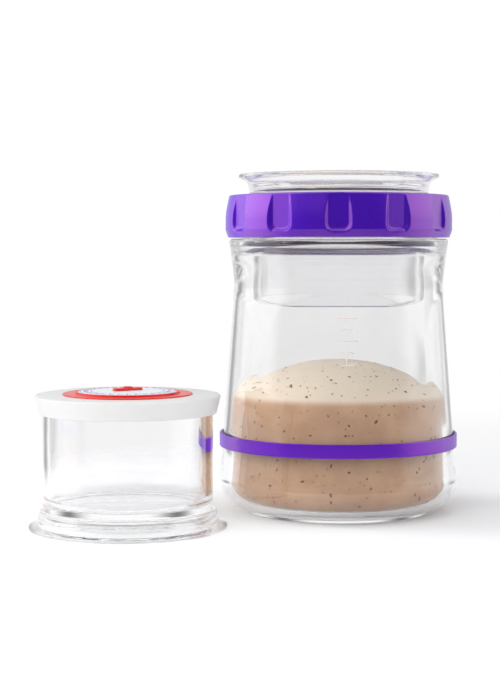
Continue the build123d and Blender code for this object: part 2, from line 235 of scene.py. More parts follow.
def supported(runs: Sequence[Sequence[Point]], closed: bool, inset: float = 0.35) -> list[Point]:
    """Joins runs of an outline, with a point close to both ends of each straight join, which keeps it flat.

    Args:
        runs: runs of points that straight lines join.
        closed: whether the last run is joined to the first.
        inset: distance of the added points from the ends of a straight line.

    Returns:
        Points of the whole outline.
    """
    outline: list[Point] = []
    for index, run in enumerate(runs):
        outline.extend(run)
        if index == len(runs) - 1 and not closed:
            break
        start = np.array(run[-1])
        end = np.array(runs[(index + 1) % len(runs)][0])
        length = np.linalg.norm(end - start)
        if length > inset / 2:
            step = (end - start) / length * min(inset, length / 4)
            outline.append(tuple(start + step))
            outline.append(tuple(end - step))
    return outline


def rounded_outline(corners: Sequence[Corner], closed: bool = True, steps: int = 7) -> list[Point]:
    """Outline through corners, with an arc at each rounded one.

    Args:
        corners: radius, height and rounding of each corner.
        closed: whether the last corner is joined to the first.
        steps: number of steps along each arc.

    Returns:
        Points of the outline.
    """
    spots = [np.array(corner[:2], float) for corner in corners]
    runs: list[list[Point]] = []
    for index, here in enumerate(spots):
        rounding = corners[index][2]
        if rounding == 0 or (not closed and index in (0, len(spots) - 1)):
            runs.append([tuple(here)])
            continue
        back = unit(spots[index - 1] - here)
        ahead = unit(spots[(index + 1) % len(spots)] - here)
        half = math.acos(float(np.clip(back @ ahead, -1, 1))) / 2
        centre = here + unit(back + ahead) * rounding / math.sin(half)
        start = here + back * rounding / math.tan(half) - centre
        end = here + ahead * rounding / math.tan(half) - centre
        first = math.degrees(math.atan2(start[1], start[0]))
        sweep = (math.degrees(math.atan2(end[1], end[0])) - first + 180) % 360 - 180
        runs.append(arc_run(tuple(centre), rounding, first, first + sweep, steps))
    return supported(runs, closed)


def turn_columns(count: int, *finer: np.ndarray, nearest: float = 0.004) -> np.ndarray:
    """Turns for the columns of a mesh.

    Args:
        count: number of even columns.
        finer: more turns, kept in place of even ones that they nearly meet.
        nearest: turn within which an even one gives way to a finer one.

    Returns:
        All turns in rising order.
    """
    even = np.linspace(-math.pi, math.pi, count, endpoint=False)
    if not finer:
        return even
    added = np.unique(np.round(np.concatenate(finer), 6))
    spacing = TAU / count / 3
    clear = np.min(np.abs(even[:, None] - added[None, :]), axis=1) > min(spacing, nearest)
    return np.sort(np.concatenate([even[clear], added]))


# Meshes


@dataclass
class Shell:
    """Surface under construction: vertices in millimetres and the faces that join them."""

    vertices: np.ndarray
    faces: list[list[int]]

    def joined(self, other: "Shell") -> "Shell":
        """This shell and another one as a single shell.

        Args:
            other: shell that is added.

        Returns:
            The shell of both.
        """
        offset = len(self.vertices)
        moved = [[corner + offset for corner in face] for face in other.faces]
        return Shell(np.vstack([self.vertices, other.vertices]), self.faces + moved)

    def turned(self, angle: float) -> "Shell":
        """This shell turned about the Z axis.

        Args:
            angle: angle in radians, clockwise as seen from above.

        Returns:
            The turned shell.
        """
        cosine, sine = math.cos(angle), math.sin(angle)
        matrix = np.array([[cosine, sine, 0], [-sine, cosine, 0], [0, 0, 1]])
        return Shell(self.vertices @ matrix, self.faces)

    def to_object(
        self, name: str, place: Sequence[float] = (0, 0, 0), crease: float = 32.0,
    ) -> bpy.types.Object:
        """Makes the Blender object of this shell.

        Args:
            name: name of the object.
            place: place of its own origin, in millimetres.
            crease: angle in degrees above which an edge stays sharp.

        Returns:
            The new object, smooth shaded, with its faces turned outwards.
        """
        mesh = bpy.data.meshes.new(name)
        mesh.from_pydata((self.vertices * MM).tolist(), [], self.faces)
        working = bmesh.new()
        working.from_mesh(mesh)
        bmesh.ops.recalc_face_normals(working, faces=working.faces)
        working.to_mesh(mesh)
        working.free()
        mesh.shade_smooth()
        mesh.set_sharp_from_angle(angle=math.radians(crease))
        piece = bpy.data.objects.new(name, mesh)
        piece.location = Vector(place) * MM
        bpy.context.scene.collection.objects.link(piece)
        return piece


def spun(
    outline: Sequence[Point], turns: np.ndarray, closed: bool = True, shape: Optional[Shape] = None,
) -> Shell:
    """Surface made by turning an outline about the Z axis.

    Args:
        outline: radius and height of its points; an open one starts and ends on the axis.
        turns: turns of the columns.
        closed: whether the last point is joined to the first.
        shape: changes the radius of each point, from its radius, height and turn.

    Returns:
        The closed surface.
    """
    points = np.array(outline, float)
    grids = np.broadcast_arrays(points[:, :1], points[:, 1:], turns[None, :])
    radius, height, turn = (np.array(grid) for grid in grids)
    if shape is not None:
        radius = shape(radius, height, turn)
    spots = np.stack([radius * np.sin(turn), -radius * np.cos(turn), height], axis=-1)
    poles = points[:, 0] < ON_AXIS
    widths = np.where(poles, 1, len(turns))
    starts = np.cumsum(widths) - widths
    index = starts[:, None] + np.where(poles[:, None], 0, np.arange(len(turns))[None, :])
    vertices = np.vstack([row[:width] for row, width in zip(spots, widths)])
    beside = np.roll(index, -1, axis=1)
    faces = []
    for row in range(len(points) if closed else len(points) - 1):
        above = (row + 1) % len(points)
        for corners in zip(index[row], beside[row], beside[above], index[above]):
            face = [int(corner) for corner in dict.fromkeys(corners)]
            if len(face) > 2:
                faces.append(face)
    return Shell(vertices, faces)


def stacked(loops: Sequence[np.ndarray]) -> Shell:
    """Surface through loops of points, one above another, with a flat face at each end.

    Args:
        loops: loops of equally many points.

    Returns:
        The closed surface.
    """
    count = len(loops[0])
    faces = [list(range(count)), list(range(count * (len(loops) - 1), count * len(loops)))]
    for level in range(len(loops) - 1):
        for column in range(count):
            beside = (column + 1) % count
            low, high = level * count, (level + 1) * count
            faces.append([low + column, low + beside, high + beside, high + column])
    return Shell(np.vstack(loops), faces)


def rounded_loop(half_x: float, half_y: float, corner: float, height: float, steps: int = 8) -> np.ndarray:
    """Loop of points round a rectangle with rounded corners.

    Args:
        half_x: half its length.
        half_y: half its width.
        corner: radius of its corners.
        height: height of the loop.
        steps: number of steps round each corner.

    Returns:
        The points, three numbers each.
    """
    points = []
    for quarter, (side_x, side_y) in enumerate(((1, 1), (-1, 1), (-1, -1), (1, -1))):
        centre = (side_x * (half_x - corner), side_y * (half_y - corner))
        for x, y in arc_run(centre, corner, 90 * quarter, 90 * (quarter + 1), steps):
            points.append((x, y, height))
    return np.array(points)


# Finishes


def add_node(tree: bpy.types.NodeTree, kind: str, values: Optional[dict] = None, links: Optional[dict] = None,
             **settings: object) -> bpy.types.Node:
    """Adds a node to a tree.

    Args:
        tree: tree that gets the node.
        kind: type of the node.
        values: constant value of each named or numbered input.
        links: output that feeds each named or numbered input.
        settings: attributes of the node.

    Returns:
        The new node.
    """
    node = tree.nodes.new(kind)
    for name, value in settings.items():
        setattr(node, name, value)
    for key, value in (values or {}).items():
        node.inputs[key].default_value = value
    for key, source in (links or {}).items():
        tree.links.new(source, node.inputs[key])
    return node


@dataclass(frozen=True)
class Finish:
    """What every finish shares: a name, and the start and the end of its node tree."""

    name: str

    def surface(self, tree: bpy.types.NodeTree) -> bpy.types.Node:
        """Adds the nodes of the surface and gives the last one; each finish has its own."""
        raise NotImplementedError

    def material(self) -> bpy.types.Material:
        """Builds the material.

        Returns:
            The new material.
        """
        material = bpy.data.materials.new(self.name)
        material.use_nodes = True
        tree = material.node_tree
        tree.nodes.clear()
        add_node(tree, "ShaderNodeOutputMaterial", None, {"Surface": self.surface(tree).outputs[0]})
        return material


@dataclass(frozen=True)
class ClearGlass(Finish):
    """Pressed soda-lime glass: sharp reflections, a faint grey body and the slow waves of its mould."""

    tint: str = "#F7F7F7"
    deep_tint: str = "#F3F3F4"
    ior: float = 1.52
    wave_size: float = 16.0
    wave_depth: float = 0.05
    shadow_tint: str = "#EEF1F0"

    def surface(self, tree: bpy.types.NodeTree) -> bpy.types.Node:
        """Adds the nodes of the glass; lamps shine through it instead of casting a solid shadow.

        Args:
            tree: empty tree of the material.

        Returns:
            The node that ends the surface.
        """
        place = add_node(tree, "ShaderNodeTexCoord").outputs["Object"]
        wave = add_node(tree, "ShaderNodeTexNoise", {"Scale": 1 / (self.wave_size * MM), "Detail": 1.0},
                        {"Vector": place})
        bump = add_node(tree, "ShaderNodeBump", {"Strength": 1.0, "Distance": self.wave_depth * MM},
                        {"Height": wave.outputs[0]})
        colour = add_node(tree, "ShaderNodeMix", {6: linear(self.tint), 7: linear(self.deep_tint)},
                          {0: wave.outputs[0]}, data_type="RGBA")
        glass = add_node(
            tree, "ShaderNodeBsdfPrincipled",
            {"Roughness": 0.0, "IOR": self.ior, "Transmission Weight": 1.0},
            {"Base Color": colour.outputs[2], "Normal": bump.outputs[0]},
        )
        path = add_node(tree, "ShaderNodeLightPath")
        clear = add_node(tree, "ShaderNodeBsdfTransparent", {"Color": linear(self.shadow_tint)})
        mixed = add_node(tree, "ShaderNodeMixShader", None, {
            0: path.outputs["Is Shadow Ray"], 1: glass.outputs[0], 2: clear.outputs[0],
        })
        return mixed


@dataclass(frozen=True)
class MouldedPlastic(Finish):
    """Moulded plastic: even colour with a faint flow mottle, and a fine texture that softens its gloss.

    Gloss is how strongly it mirrors, and sheen_colour tints what it mirrors. Scatter lets light spread inside
    a milky plastic.
    """

    colour: str
    shade: str
    roughness: float = 0.35
    roughness_spread: float = 0.05
    ior: float = 1.49
    mottle_size: float = 11.0
    # The mould's texture is near 0.1 mm, too fine to show, so it is drawn coarser.
    grain_size: float = 0.35
    grain_depth: float = 0.004
    scatter: float = 0.0
    gloss: float = 0.5
    sheen_colour: str = "#FFFFFF"

    def surface(self, tree: bpy.types.NodeTree) -> bpy.types.Node:
        """Adds the nodes of the plastic.

        Args:
            tree: empty tree of the material.

        Returns:
            The node that ends the surface.
        """
        place = add_node(tree, "ShaderNodeTexCoord").outputs["Object"]
        mottle = add_node(tree, "ShaderNodeTexNoise", {"Scale": 1 / (self.mottle_size * MM), "Detail": 3.0},
                          {"Vector": place})
        grain = add_node(tree, "ShaderNodeTexNoise", {"Scale": 1 / (self.grain_size * MM), "Detail": 2.0},
                         {"Vector": place})
        colour = add_node(tree, "ShaderNodeMix", {6: linear(self.colour), 7: linear(self.shade)},
                          {0: mottle.outputs[0]}, data_type="RGBA")
        rough = add_node(tree, "ShaderNodeMapRange", {
            3: self.roughness - self.roughness_spread, 4: self.roughness + self.roughness_spread,
        }, {0: grain.outputs[0]})
        bump = add_node(tree, "ShaderNodeBump", {"Strength": 1.0, "Distance": self.grain_depth * MM},
                        {"Height": grain.outputs[0]})
        plastic = add_node(
            tree, "ShaderNodeBsdfPrincipled",
            {"IOR": self.ior, "Subsurface Weight": self.scatter, "Subsurface Scale": MM,
             "Specular IOR Level": self.gloss, "Specular Tint": linear(self.sheen_colour)},
            {"Base Color": colour.outputs[2], "Roughness": rough.outputs[0], "Normal": bump.outputs[0]},
        )
        return plastic


@dataclass(frozen=True)
class SoftSilicone(Finish):
    """Translucent silicone: milky, with a soft satin skin and slight clouds inside."""

    colour: str = "#F3F2EE"
    cloud: str = "#E4E4DF"
    roughness: float = 0.3
    ior: float = 1.41
    clearness: float = 0.85
    cloud_size: float = 5.0

    def surface(self, tree: bpy.types.NodeTree) -> bpy.types.Node:
        """Adds the nodes of the silicone.

        Args:
            tree: empty tree of the material.

        Returns:
            The node that ends the surface.
        """
        place = add_node(tree, "ShaderNodeTexCoord").outputs["Object"]
        cloud = add_node(tree, "ShaderNodeTexNoise", {"Scale": 1 / (self.cloud_size * MM), "Detail": 2.0},
                         {"Vector": place})
        colour = add_node(tree, "ShaderNodeMix", {6: linear(self.colour), 7: linear(self.cloud)},
                          {0: cloud.outputs[0]}, data_type="RGBA")
        silicone = add_node(
            tree, "ShaderNodeBsdfPrincipled",
            {"Roughness": self.roughness, "IOR": self.ior, "Transmission Weight": self.clearness},
            {"Base Color": colour.outputs[2]},
        )
        return silicone


@dataclass(frozen=True)
class RyeDough(Finish):
    """Wet rye starter: warm tan, a top paler partly by painted light, a damp sheen, small bubbles and ground
    bran.
    """

    colour: str = "#D8AE8C"
    damp: str = "#CA9C7C"
    # Paler top by height: partly the risen dough's own colour, partly painted light falling from above.
    risen_and_lit: str = "#FAE6D2"
    risen_and_lit_from: float = 52.8
    risen_and_lit_to: float = 56.4
    cloud_size: float = 13.0
    cloud_range: Point = (0.32, 0.68)
    bubble_size: float = 2.6
    bubble_depth: float = 0.16
    bubble_strength: float = 0.6
    # Spacing of the finest bran, whose specks are a few tenths of a millimetre wide.
    speck_size: float = 1.5
    speck_range: Point = (0.16, 0.08)
    speck_strength: float = 0.4
    speck: str = "#8C6549"
    roughness_range: Point = (0.38, 0.58)
    ior: float = 1.4
    scatter: float = 0.15
    scatter_depth: float = 2.0

    def surface(self, tree: bpy.types.NodeTree) -> bpy.types.Node:
        """Adds the nodes of the dough.

        Args:
            tree: empty tree of the material.

        Returns:
            The node that ends the surface.
        """
        place = add_node(tree, "ShaderNodeTexCoord").outputs["Object"]
        height = add_node(tree, "ShaderNodeSeparateXYZ", None, {0: place}).outputs["Z"]
        cloud = add_node(tree, "ShaderNodeTexNoise", {"Scale": 1 / (self.cloud_size * MM), "Detail": 4.0},
                         {"Vector": place})
        cloud_share = add_node(tree, "ShaderNodeMapRange", {1: self.cloud_range[0], 2: self.cloud_range[1]},
                               {0: cloud.outputs[0]})
        body = add_node(tree, "ShaderNodeMix", {6: linear(self.colour), 7: linear(self.damp)},
                        {0: cloud_share.outputs[0]}, data_type="RGBA")
        # Painted paler towards the top: partly risen dough, partly painted light from above.
        rise = add_node(tree, "ShaderNodeMapRange", {1: self.risen_and_lit_from * MM, 2: self.risen_and_lit_to * MM},
                        {0: height}, interpolation_type="SMOOTHSTEP")
        top = add_node(tree, "ShaderNodeMix", {7: linear(self.risen_and_lit)},
                       {0: rise.outputs[0], 6: body.outputs[2]}, data_type="RGBA")
        speck = add_node(tree, "ShaderNodeTexVoronoi", {"Scale": 1 / (self.speck_size * MM)},
                         {"Vector": place})
        speck_share = add_node(tree, "ShaderNodeMapRange", {
            1: self.speck_range[0], 2: self.speck_range[1], 3: 0.0, 4: self.speck_strength,
        }, {0: speck.outputs["Distance"]})
        flecked = add_node(tree, "ShaderNodeMix", {7: linear(self.speck)},
                           {0: speck_share.outputs[0], 6: top.outputs[2]}, data_type="RGBA")
        bubble = add_node(tree, "ShaderNodeTexVoronoi", {"Scale": 1 / (self.bubble_size * MM)},
                          {"Vector": place}, feature="SMOOTH_F1")
        bump = add_node(tree, "ShaderNodeBump", {
            "Strength": self.bubble_strength, "Distance": self.bubble_depth * MM,
        }, {"Height": bubble.outputs["Distance"]})
        rough = add_node(tree, "ShaderNodeMapRange", {3: self.roughness_range[0], 4: self.roughness_range[1]},
                         {0: cloud.outputs[0]})
        dough = add_node(
            tree, "ShaderNodeBsdfPrincipled",
            {"IOR": self.ior, "Subsurface Weight": self.scatter, "Subsurface Scale": self.scatter_depth * MM},
            {"Base Color": flecked.outputs[2], "Roughness": rough.outputs[0], "Normal": bump.outputs[0]},
        )
        return dough


@dataclass(frozen=True)
class DryPigment(Finish):
    """Matter mottled between two tones: the brown of bran flakes, and the ink of the dial's numbers."""

    colour: str
    shade: str
    roughness: float = 0.6
    ior: float = 1.45
    mottle_size: float = 2.0
    mottle_range: Point = (0.35, 0.65)

    def surface(self, tree: bpy.types.NodeTree) -> bpy.types.Node:
        """Adds the nodes of the pigment.

        Args:
            tree: empty tree of the material.

        Returns:
            The node that ends the surface.
        """
        place = add_node(tree, "ShaderNodeTexCoord").outputs["Object"]
        mottle = add_node(tree, "ShaderNodeTexNoise", {"Scale": 1 / (self.mottle_size * MM), "Detail": 2.0},
                          {"Vector": place})
        share = add_node(tree, "ShaderNodeMapRange", {1: self.mottle_range[0], 2: self.mottle_range[1]},
                         {0: mottle.outputs[0]})
        colour = add_node(tree, "ShaderNodeMix", {6: linear(self.colour), 7: linear(self.shade)},
                          {0: share.outputs[0]}, data_type="RGBA")
        matt = add_node(tree, "ShaderNodeBsdfPrincipled", {"Roughness": self.roughness, "IOR": self.ior},
                        {"Base Color": colour.outputs[2]})
        return matt


@dataclass(frozen=True)
class PrintedDisc(Finish):
    """White satin plastic with thin blue printed rings at set radii about the disc's axis."""

    colour: str = "#F7FAFD"
    shade: str = "#EFF4FA"
    ink: str = "#4C7DC4"
    ring_radii: tuple[float, ...] = (21.0, 16.2)
    ring_half_width: float = 0.22
    mottle_size: float = 6.0
    roughness: float = 0.38
    ior: float = 1.49

    def surface(self, tree: bpy.types.NodeTree) -> bpy.types.Node:
        """Adds the nodes of the printed plastic.

        Args:
            tree: empty tree of the material.

        Returns:
            The node that ends the surface.
        """
        place = add_node(tree, "ShaderNodeTexCoord").outputs["Object"]
        flat = add_node(tree, "ShaderNodeVectorMath", {1: (1, 1, 0)}, {0: place}, operation="MULTIPLY")
        radius = add_node(tree, "ShaderNodeVectorMath", None, {0: flat.outputs[0]}, operation="LENGTH")
        mottle = add_node(tree, "ShaderNodeTexNoise", {"Scale": 1 / (self.mottle_size * MM), "Detail": 2.0},
                          {"Vector": place})
        colour = add_node(tree, "ShaderNodeMix", {6: linear(self.colour), 7: linear(self.shade)},
                          {0: mottle.outputs[0]}, data_type="RGBA").outputs[2]
        for ring_radius in self.ring_radii:
            line = add_node(tree, "ShaderNodeMath", {1: ring_radius * MM, 2: self.ring_half_width * MM},
                            {0: radius.outputs["Value"]}, operation="COMPARE")
            colour = add_node(tree, "ShaderNodeMix", {7: linear(self.ink)},
                              {0: line.outputs[0], 6: colour}, data_type="RGBA").outputs[2]
        plastic = add_node(tree, "ShaderNodeBsdfPrincipled", {"Roughness": self.roughness, "IOR": self.ior},
                           {"Base Color": colour})
        return plastic


@dataclass(frozen=True)
class StudioPaper(Finish):
    """Matt white paper sweep: takes the shadow near the set and melts into the white background further out.

    Lift is how much brighter than its own shading the paper shows. It fades to white from fade_from to
    fade_to, distances from the jar. Between open_from and open_to it opens for rays that glass bends or a
    gloss throws back, so that they show the white room behind it.
    """

    colour: str = "#F4F4F5"
    shade: str = "#F1F1F3"
    # Paper fibres are too fine to show from here, so they are drawn coarser.
    fibre_size: float = 0.8
    lift: float = 0.10
    fade_from: float = 240.0
    fade_to: float = 520.0
    open_from: float = 190.0
    open_to: float = 280.0

    def surface(self, tree: bpy.types.NodeTree) -> bpy.types.Node:
        """Adds the nodes of the paper; its glow is only for rays that show it, so it lights nothing.

        Args:
            tree: empty tree of the material.

        Returns:
            The node that ends the surface.
        """
        place = add_node(tree, "ShaderNodeNewGeometry").outputs["Position"]
        fibre = add_node(tree, "ShaderNodeTexNoise", {"Scale": 1 / (self.fibre_size * MM), "Detail": 2.0},
                         {"Vector": place})
        colour = add_node(tree, "ShaderNodeMix", {6: linear(self.colour), 7: linear(self.shade)},
                          {0: fibre.outputs[0]}, data_type="RGBA")
        matt = add_node(tree, "ShaderNodeBsdfDiffuse", None, {"Color": colour.outputs[2]})
        path = add_node(tree, "ShaderNodeLightPath")
        seen = add_node(tree, "ShaderNodeMath", None, {
            0: path.outputs["Is Camera Ray"], 1: path.outputs["Is Glossy Ray"],
        }, operation="ADD")
        shown = add_node(tree, "ShaderNodeMath", None, {
            0: seen.outputs[0], 1: path.outputs["Is Transmission Ray"],
        }, operation="ADD", use_clamp=True)
        level = add_node(tree, "ShaderNodeMath", {1: self.lift}, {0: shown.outputs[0]}, operation="MULTIPLY")
        glow = add_node(tree, "ShaderNodeEmission", None, {"Strength": level.outputs[0]})
        near = add_node(tree, "ShaderNodeAddShader", None, {0: matt.outputs[0], 1: glow.outputs[0]})
        far = add_node(tree, "ShaderNodeEmission", None, {"Strength": shown.outputs[0]})
        distance = add_node(tree, "ShaderNodeVectorMath", None, {0: place}, operation="LENGTH")
        share = add_node(tree, "ShaderNodeMapRange", {1: self.fade_from * MM, 2: self.fade_to * MM},
                         {0: distance.outputs["Value"]}, interpolation_type="SMOOTHSTEP")
        mixed = add_node(tree, "ShaderNodeMixShader", None, {
            0: share.outputs[0], 1: near.outputs[0], 2: far.outputs[0],
        })
        beyond = add_node(tree, "ShaderNodeMapRange", {1: self.open_from * MM, 2: self.open_to * MM},
                          {0: distance.outputs["Value"]})
        bent = add_node(tree, "ShaderNodeMath", None, {
            0: path.outputs["Is Transmission Ray"], 1: path.outputs["Is Glossy Ray"],
        }, operation="MAXIMUM")
        opened = add_node(tree, "ShaderNodeMath", None, {0: bent.outputs[0], 1: beyond.outputs[0]},
                          operation="MULTIPLY")
        clear = add_node(tree, "ShaderNodeBsdfTransparent")
        sheet = add_node(tree, "ShaderNodeMixShader", None, {
            0: opened.outputs[0], 1: mixed.outputs[0], 2: clear.outputs[0],
        })
        return sheet


def dress(piece: bpy.types.Object, material: bpy.types.Material, body: Body,
          node: Optional[str] = None) -> None:
    """Gives a piece its finish and its place in the frame.

    Args:
        piece: finished object.
        material: its finish.
        body: body that it rides on.
        node: node of the frame that it stands for.
    """
    piece.data.materials.append(material)
    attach(piece, body.value)
    if node is not None:
        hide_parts(node)
    LOG.info("built %s: %d faces on %s", piece.name, len(piece.data.polygons), body.value)


# Pieces of the jar


@dataclass(frozen=True)
class ScrewThread:
    """Helical ridge on a neck or in a ring, told by how far it stands out at a height and turn."""

    start_height: float
    start_turn: float
    pitch: float = 6.0
    depth: float = 1.8
    base: float = 3.0
    crest: float = 1.4
    turns: float = 1.25
    fade: float = 0.06

    def relief(self, height: np.ndarray, turn: np.ndarray) -> np.ndarray:
        """Depth of the ridge at each point.

        Args:
            height: heights of the points.
            turn: turns of the points.

        Returns:
            Distance that the ridge stands out there.
        """
        best = np.zeros_like(height)
        for wrap in range(math.ceil(self.turns)):
            along = (turn - self.start_turn) % TAU + wrap * TAU
            away = np.abs(height - self.start_height - self.pitch * along / TAU)
            ridge = np.clip((self.base / 2 - away) / ((self.base - self.crest) / 2), 0, 1)
            ends = np.clip(np.minimum(along, self.turns * TAU - along) / self.fade, 0, 1)
            best = np.maximum(best, ridge * ends)
        return self.depth * best


@dataclass
class JarGlass:
    """Jar: four broad panels between soft ridges, a waist, a round heel, a threaded neck, a raised scale."""

    heel_radius: float = frame_reach("jar_glass")
    height: float = frame_size("jar_glass", HIGH, Z)
    neck_height: float = 17.1
    waist_inset: float = 7.05
    shoulder_inset: float = 4.8
    shoulder_rounding: float = 1.3
    neck_step: float = 4.6
    neck_wall: float = 3.1
    foot_inset: float = 12.8
    foot_height: float = 1.5
    heel_rounding: float = 13.4
    floor: float = 5.5
    wall: float = 4.1
    heel_wall: float = 5.3
    inner_rounding: float = 9.0
    rim_rounding: float = 1.2
    panel_setback: float = 7.0
    ridge_width: float = 0.22
    scale_relief: float = 0.5
    scale_line: float = 0.7
    scale_side: float = 1.4
    scale_low_share: float = 0.565
    scale_length: float = 20.0
    scale_step: float = 5.0
    tick: float = 5.0
    long_tick: float = 9.0
    edge: float = 0.25
    foot_edge: float = 0.6
    heel_start: float = -86.0
    front_margin: float = 1.0
    foot_steps: int = 5
    heel_steps: int = 22
    corner_steps: int = 7
    throat_steps: int = 14
    inner_heel_steps: int = 16
    thread_height: float = 3.9
    row: float = 0.9
    row_gap: float = 0.12
    top_gap: float = 0.3
    neck_row: float = 0.4
    column_count: int = 300
    ridge_columns: tuple[float, float, float] = (-5.0, 5.1, 0.5)
    side_shares: tuple[Point, ...] = (
        (0.166, 0.915), (0.242, 0.79), (0.313, 0.77), (0.407, 0.745),
        (0.532, 0.62), (0.657, 0.42), (0.766, 0.18), (0.825, 0.0),
    )
    collar_share: Point = (0.895, 0.3)
    low_panel_shares: tuple[Point, ...] = ((0.03, 2.2), (0.12, 1.45), (0.2, 0.96), (0.281, 0.73))
    high_panel_shares: tuple[Point, ...] = ((0.766, 0.035), (0.85, 0.25), (0.93, 0.95), (1.0, 2.2))

    def __post_init__(self) -> None:
        """Works out the sizes that follow from the fields."""
        self.body_height = self.height - self.neck_height
        self.waist_radius = self.heel_radius - self.waist_inset
        self.shoulder_radius = self.heel_radius - self.shoulder_inset
        self.neck_radius = self.shoulder_radius - self.neck_step
        self.bore_radius = self.neck_radius - self.neck_wall
        self.heel_height = self.foot_height + self.heel_rounding
        self.thread = ScrewThread(self.body_height + self.thread_height, math.pi / 2)

    def inner_radius(self, height: float) -> float:
        """Radius of the inside at a height on its straight wall."""
        low, high = self.inner_line()
        return low[0] + (height - low[1]) / (high[1] - low[1]) * (high[0] - low[0])

    def inner_line(self) -> tuple[Point, Point]:
        """Finds the ends of the straight wall inside.

        Returns:
            Its end at the heel and its end at the waist.
        """
        heel = (self.heel_radius - self.heel_wall, self.floor + self.inner_rounding)
        waist = (self.waist_radius - self.wall, self.side_shares[-1][0] * self.body_height)
        return heel, waist

    def side_point(self, share: Point) -> Point:
        """Point of the side, from its shares of the body's height and of the reach past the waist."""
        return self.waist_radius + share[1] * self.waist_inset, share[0] * self.body_height

    def side_curve(self) -> HeightCurve:
        """Curve of the round core from the heel to the shoulder.

        Returns:
            Its radius over height.
        """
        shoulder = (self.shoulder_radius, self.body_height - self.shoulder_rounding)
        height_share, way = self.collar_share
        collar = (self.waist_radius + way * (self.shoulder_radius - self.waist_radius),
                  height_share * self.body_height)
        slope = (shoulder[0] - collar[0]) / (shoulder[1] - collar[1])
        sides = tuple(self.side_point(share) for share in self.side_shares)
        return HeightCurve(((self.heel_radius, self.heel_height), *sides, collar, shoulder), (0.0, slope))

    def panel_curve(self) -> HeightCurve:
        """Curve of a panel about the upright line behind the jar's axis.

        Returns:
            Its radius over height.
        """
        shares = self.low_panel_shares + self.high_panel_shares
        points = [self.side_point(share) for share in shares]
        return HeightCurve(tuple((radius + self.panel_setback, height) for radius, height in points),
                           straight_span=len(self.low_panel_shares) - 1)

    def panel_radius(self, height: np.ndarray, turn: np.ndarray) -> np.ndarray:
        """Finds how far the nearest panel is from the jar's axis.

        Args:
            height: heights of the points.
            turn: turns of the points.

        Returns:
            Distance of the panel at each point.
        """
        quarter = math.pi / 2
        off = (turn + quarter / 2) % quarter - quarter / 2
        reach = self.panel_curve().radius(height)
        setback = self.panel_setback
        return np.sqrt(reach**2 - (setback * np.sin(off))**2) - setback * np.cos(off)

    def bars(self) -> list[tuple[float, float, float]]:
        """Lists the bars of the raised scale.

        Returns:
            Half length, half height and middle height of each bar.
        """
        low = self.scale_low_share * self.body_height
        bars = [(self.scale_line / 2, self.scale_length / 2, low + self.scale_length / 2)]
        for index in range(int(self.scale_length / self.scale_step) + 1):
            length = self.long_tick if index % 2 == 0 else self.tick
            bars.append((length / 2, self.scale_line / 2, low + index * self.scale_step))
        return bars

    def scale(self, side: np.ndarray, height: np.ndarray) -> np.ndarray:
        """Finds where the scale is raised.

        Args:
            side: distance of each point to the right of the jar's middle.
            height: heights of the points.

        Returns:
            Share of the scale's relief at each point.
        """
        raised = np.zeros_like(height)
        for half_length, half_height, middle in self.bars():
            across = np.clip(0.5 + (half_length - np.abs(side - self.scale_side)) / self.edge, 0, 1)
            up = np.clip(0.5 + (half_height - np.abs(height - middle)) / self.edge, 0, 1)
            raised = np.maximum(raised, across * up)
        return raised

    def shape(self, radius: np.ndarray, height: np.ndarray, turn: np.ndarray) -> np.ndarray:
        """Cuts the panels into the round core and raises the scale and the thread.

        Args:
            radius: radii of the points of the turned outline.
            height: heights of the points.
            turn: turns of the points.

        Returns:
            The new radii.
        """
        panelled = smooth_min(radius, self.panel_radius(height, turn), self.ridge_width)
        in_front = (radius > self.waist_radius - self.front_margin) & (np.cos(turn) > 0)
        marks = np.where(in_front, self.scale(radius * np.sin(turn), height), 0)
        panelled = panelled + marks * self.scale_relief
        on_neck = np.abs(radius - self.neck_radius) < NEAR
        return np.where(on_neck, radius + self.thread.relief(height, turn), panelled)

    def columns(self) -> np.ndarray:
        """Lists the turns of the mesh: finer at the ridges between panels and at the scale's edges.

        Returns:
            All turns in rising order.
        """
        ridge = np.radians(np.arange(*self.ridge_columns))
        ridges = [ridge + math.radians(45 + 90 * index) - math.pi for index in range(4)]
        halves = sorted({half for half, _, _ in self.bars()})
        sides = [self.scale_side + sign * (half + step * self.edge / 2)
                 for half in halves for sign in (-1, 1) for step in (-1, 1)]
        return turn_columns(self.column_count, *ridges, np.arcsin(np.array(sides) / self.shoulder_radius))

    def outer_heights(self) -> np.ndarray:
        """Lists the heights of the rows up the outer side: finer at the scale's edges.

        Returns:
            All heights in rising order.
        """
        top = self.body_height - self.shoulder_rounding - self.top_gap
        even = np.arange(self.heel_height + self.row, top, self.row)
        edges = np.array([middle + sign * (half + step * self.edge / 2)
                          for _, half, middle in self.bars() for sign in (-1, 1) for step in (-1, 1)])
        clear = np.min(np.abs(even[:, None] - edges[None, :]), axis=1) > self.row_gap
        return np.unique(np.round(np.concatenate([even[clear], edges]), 4))

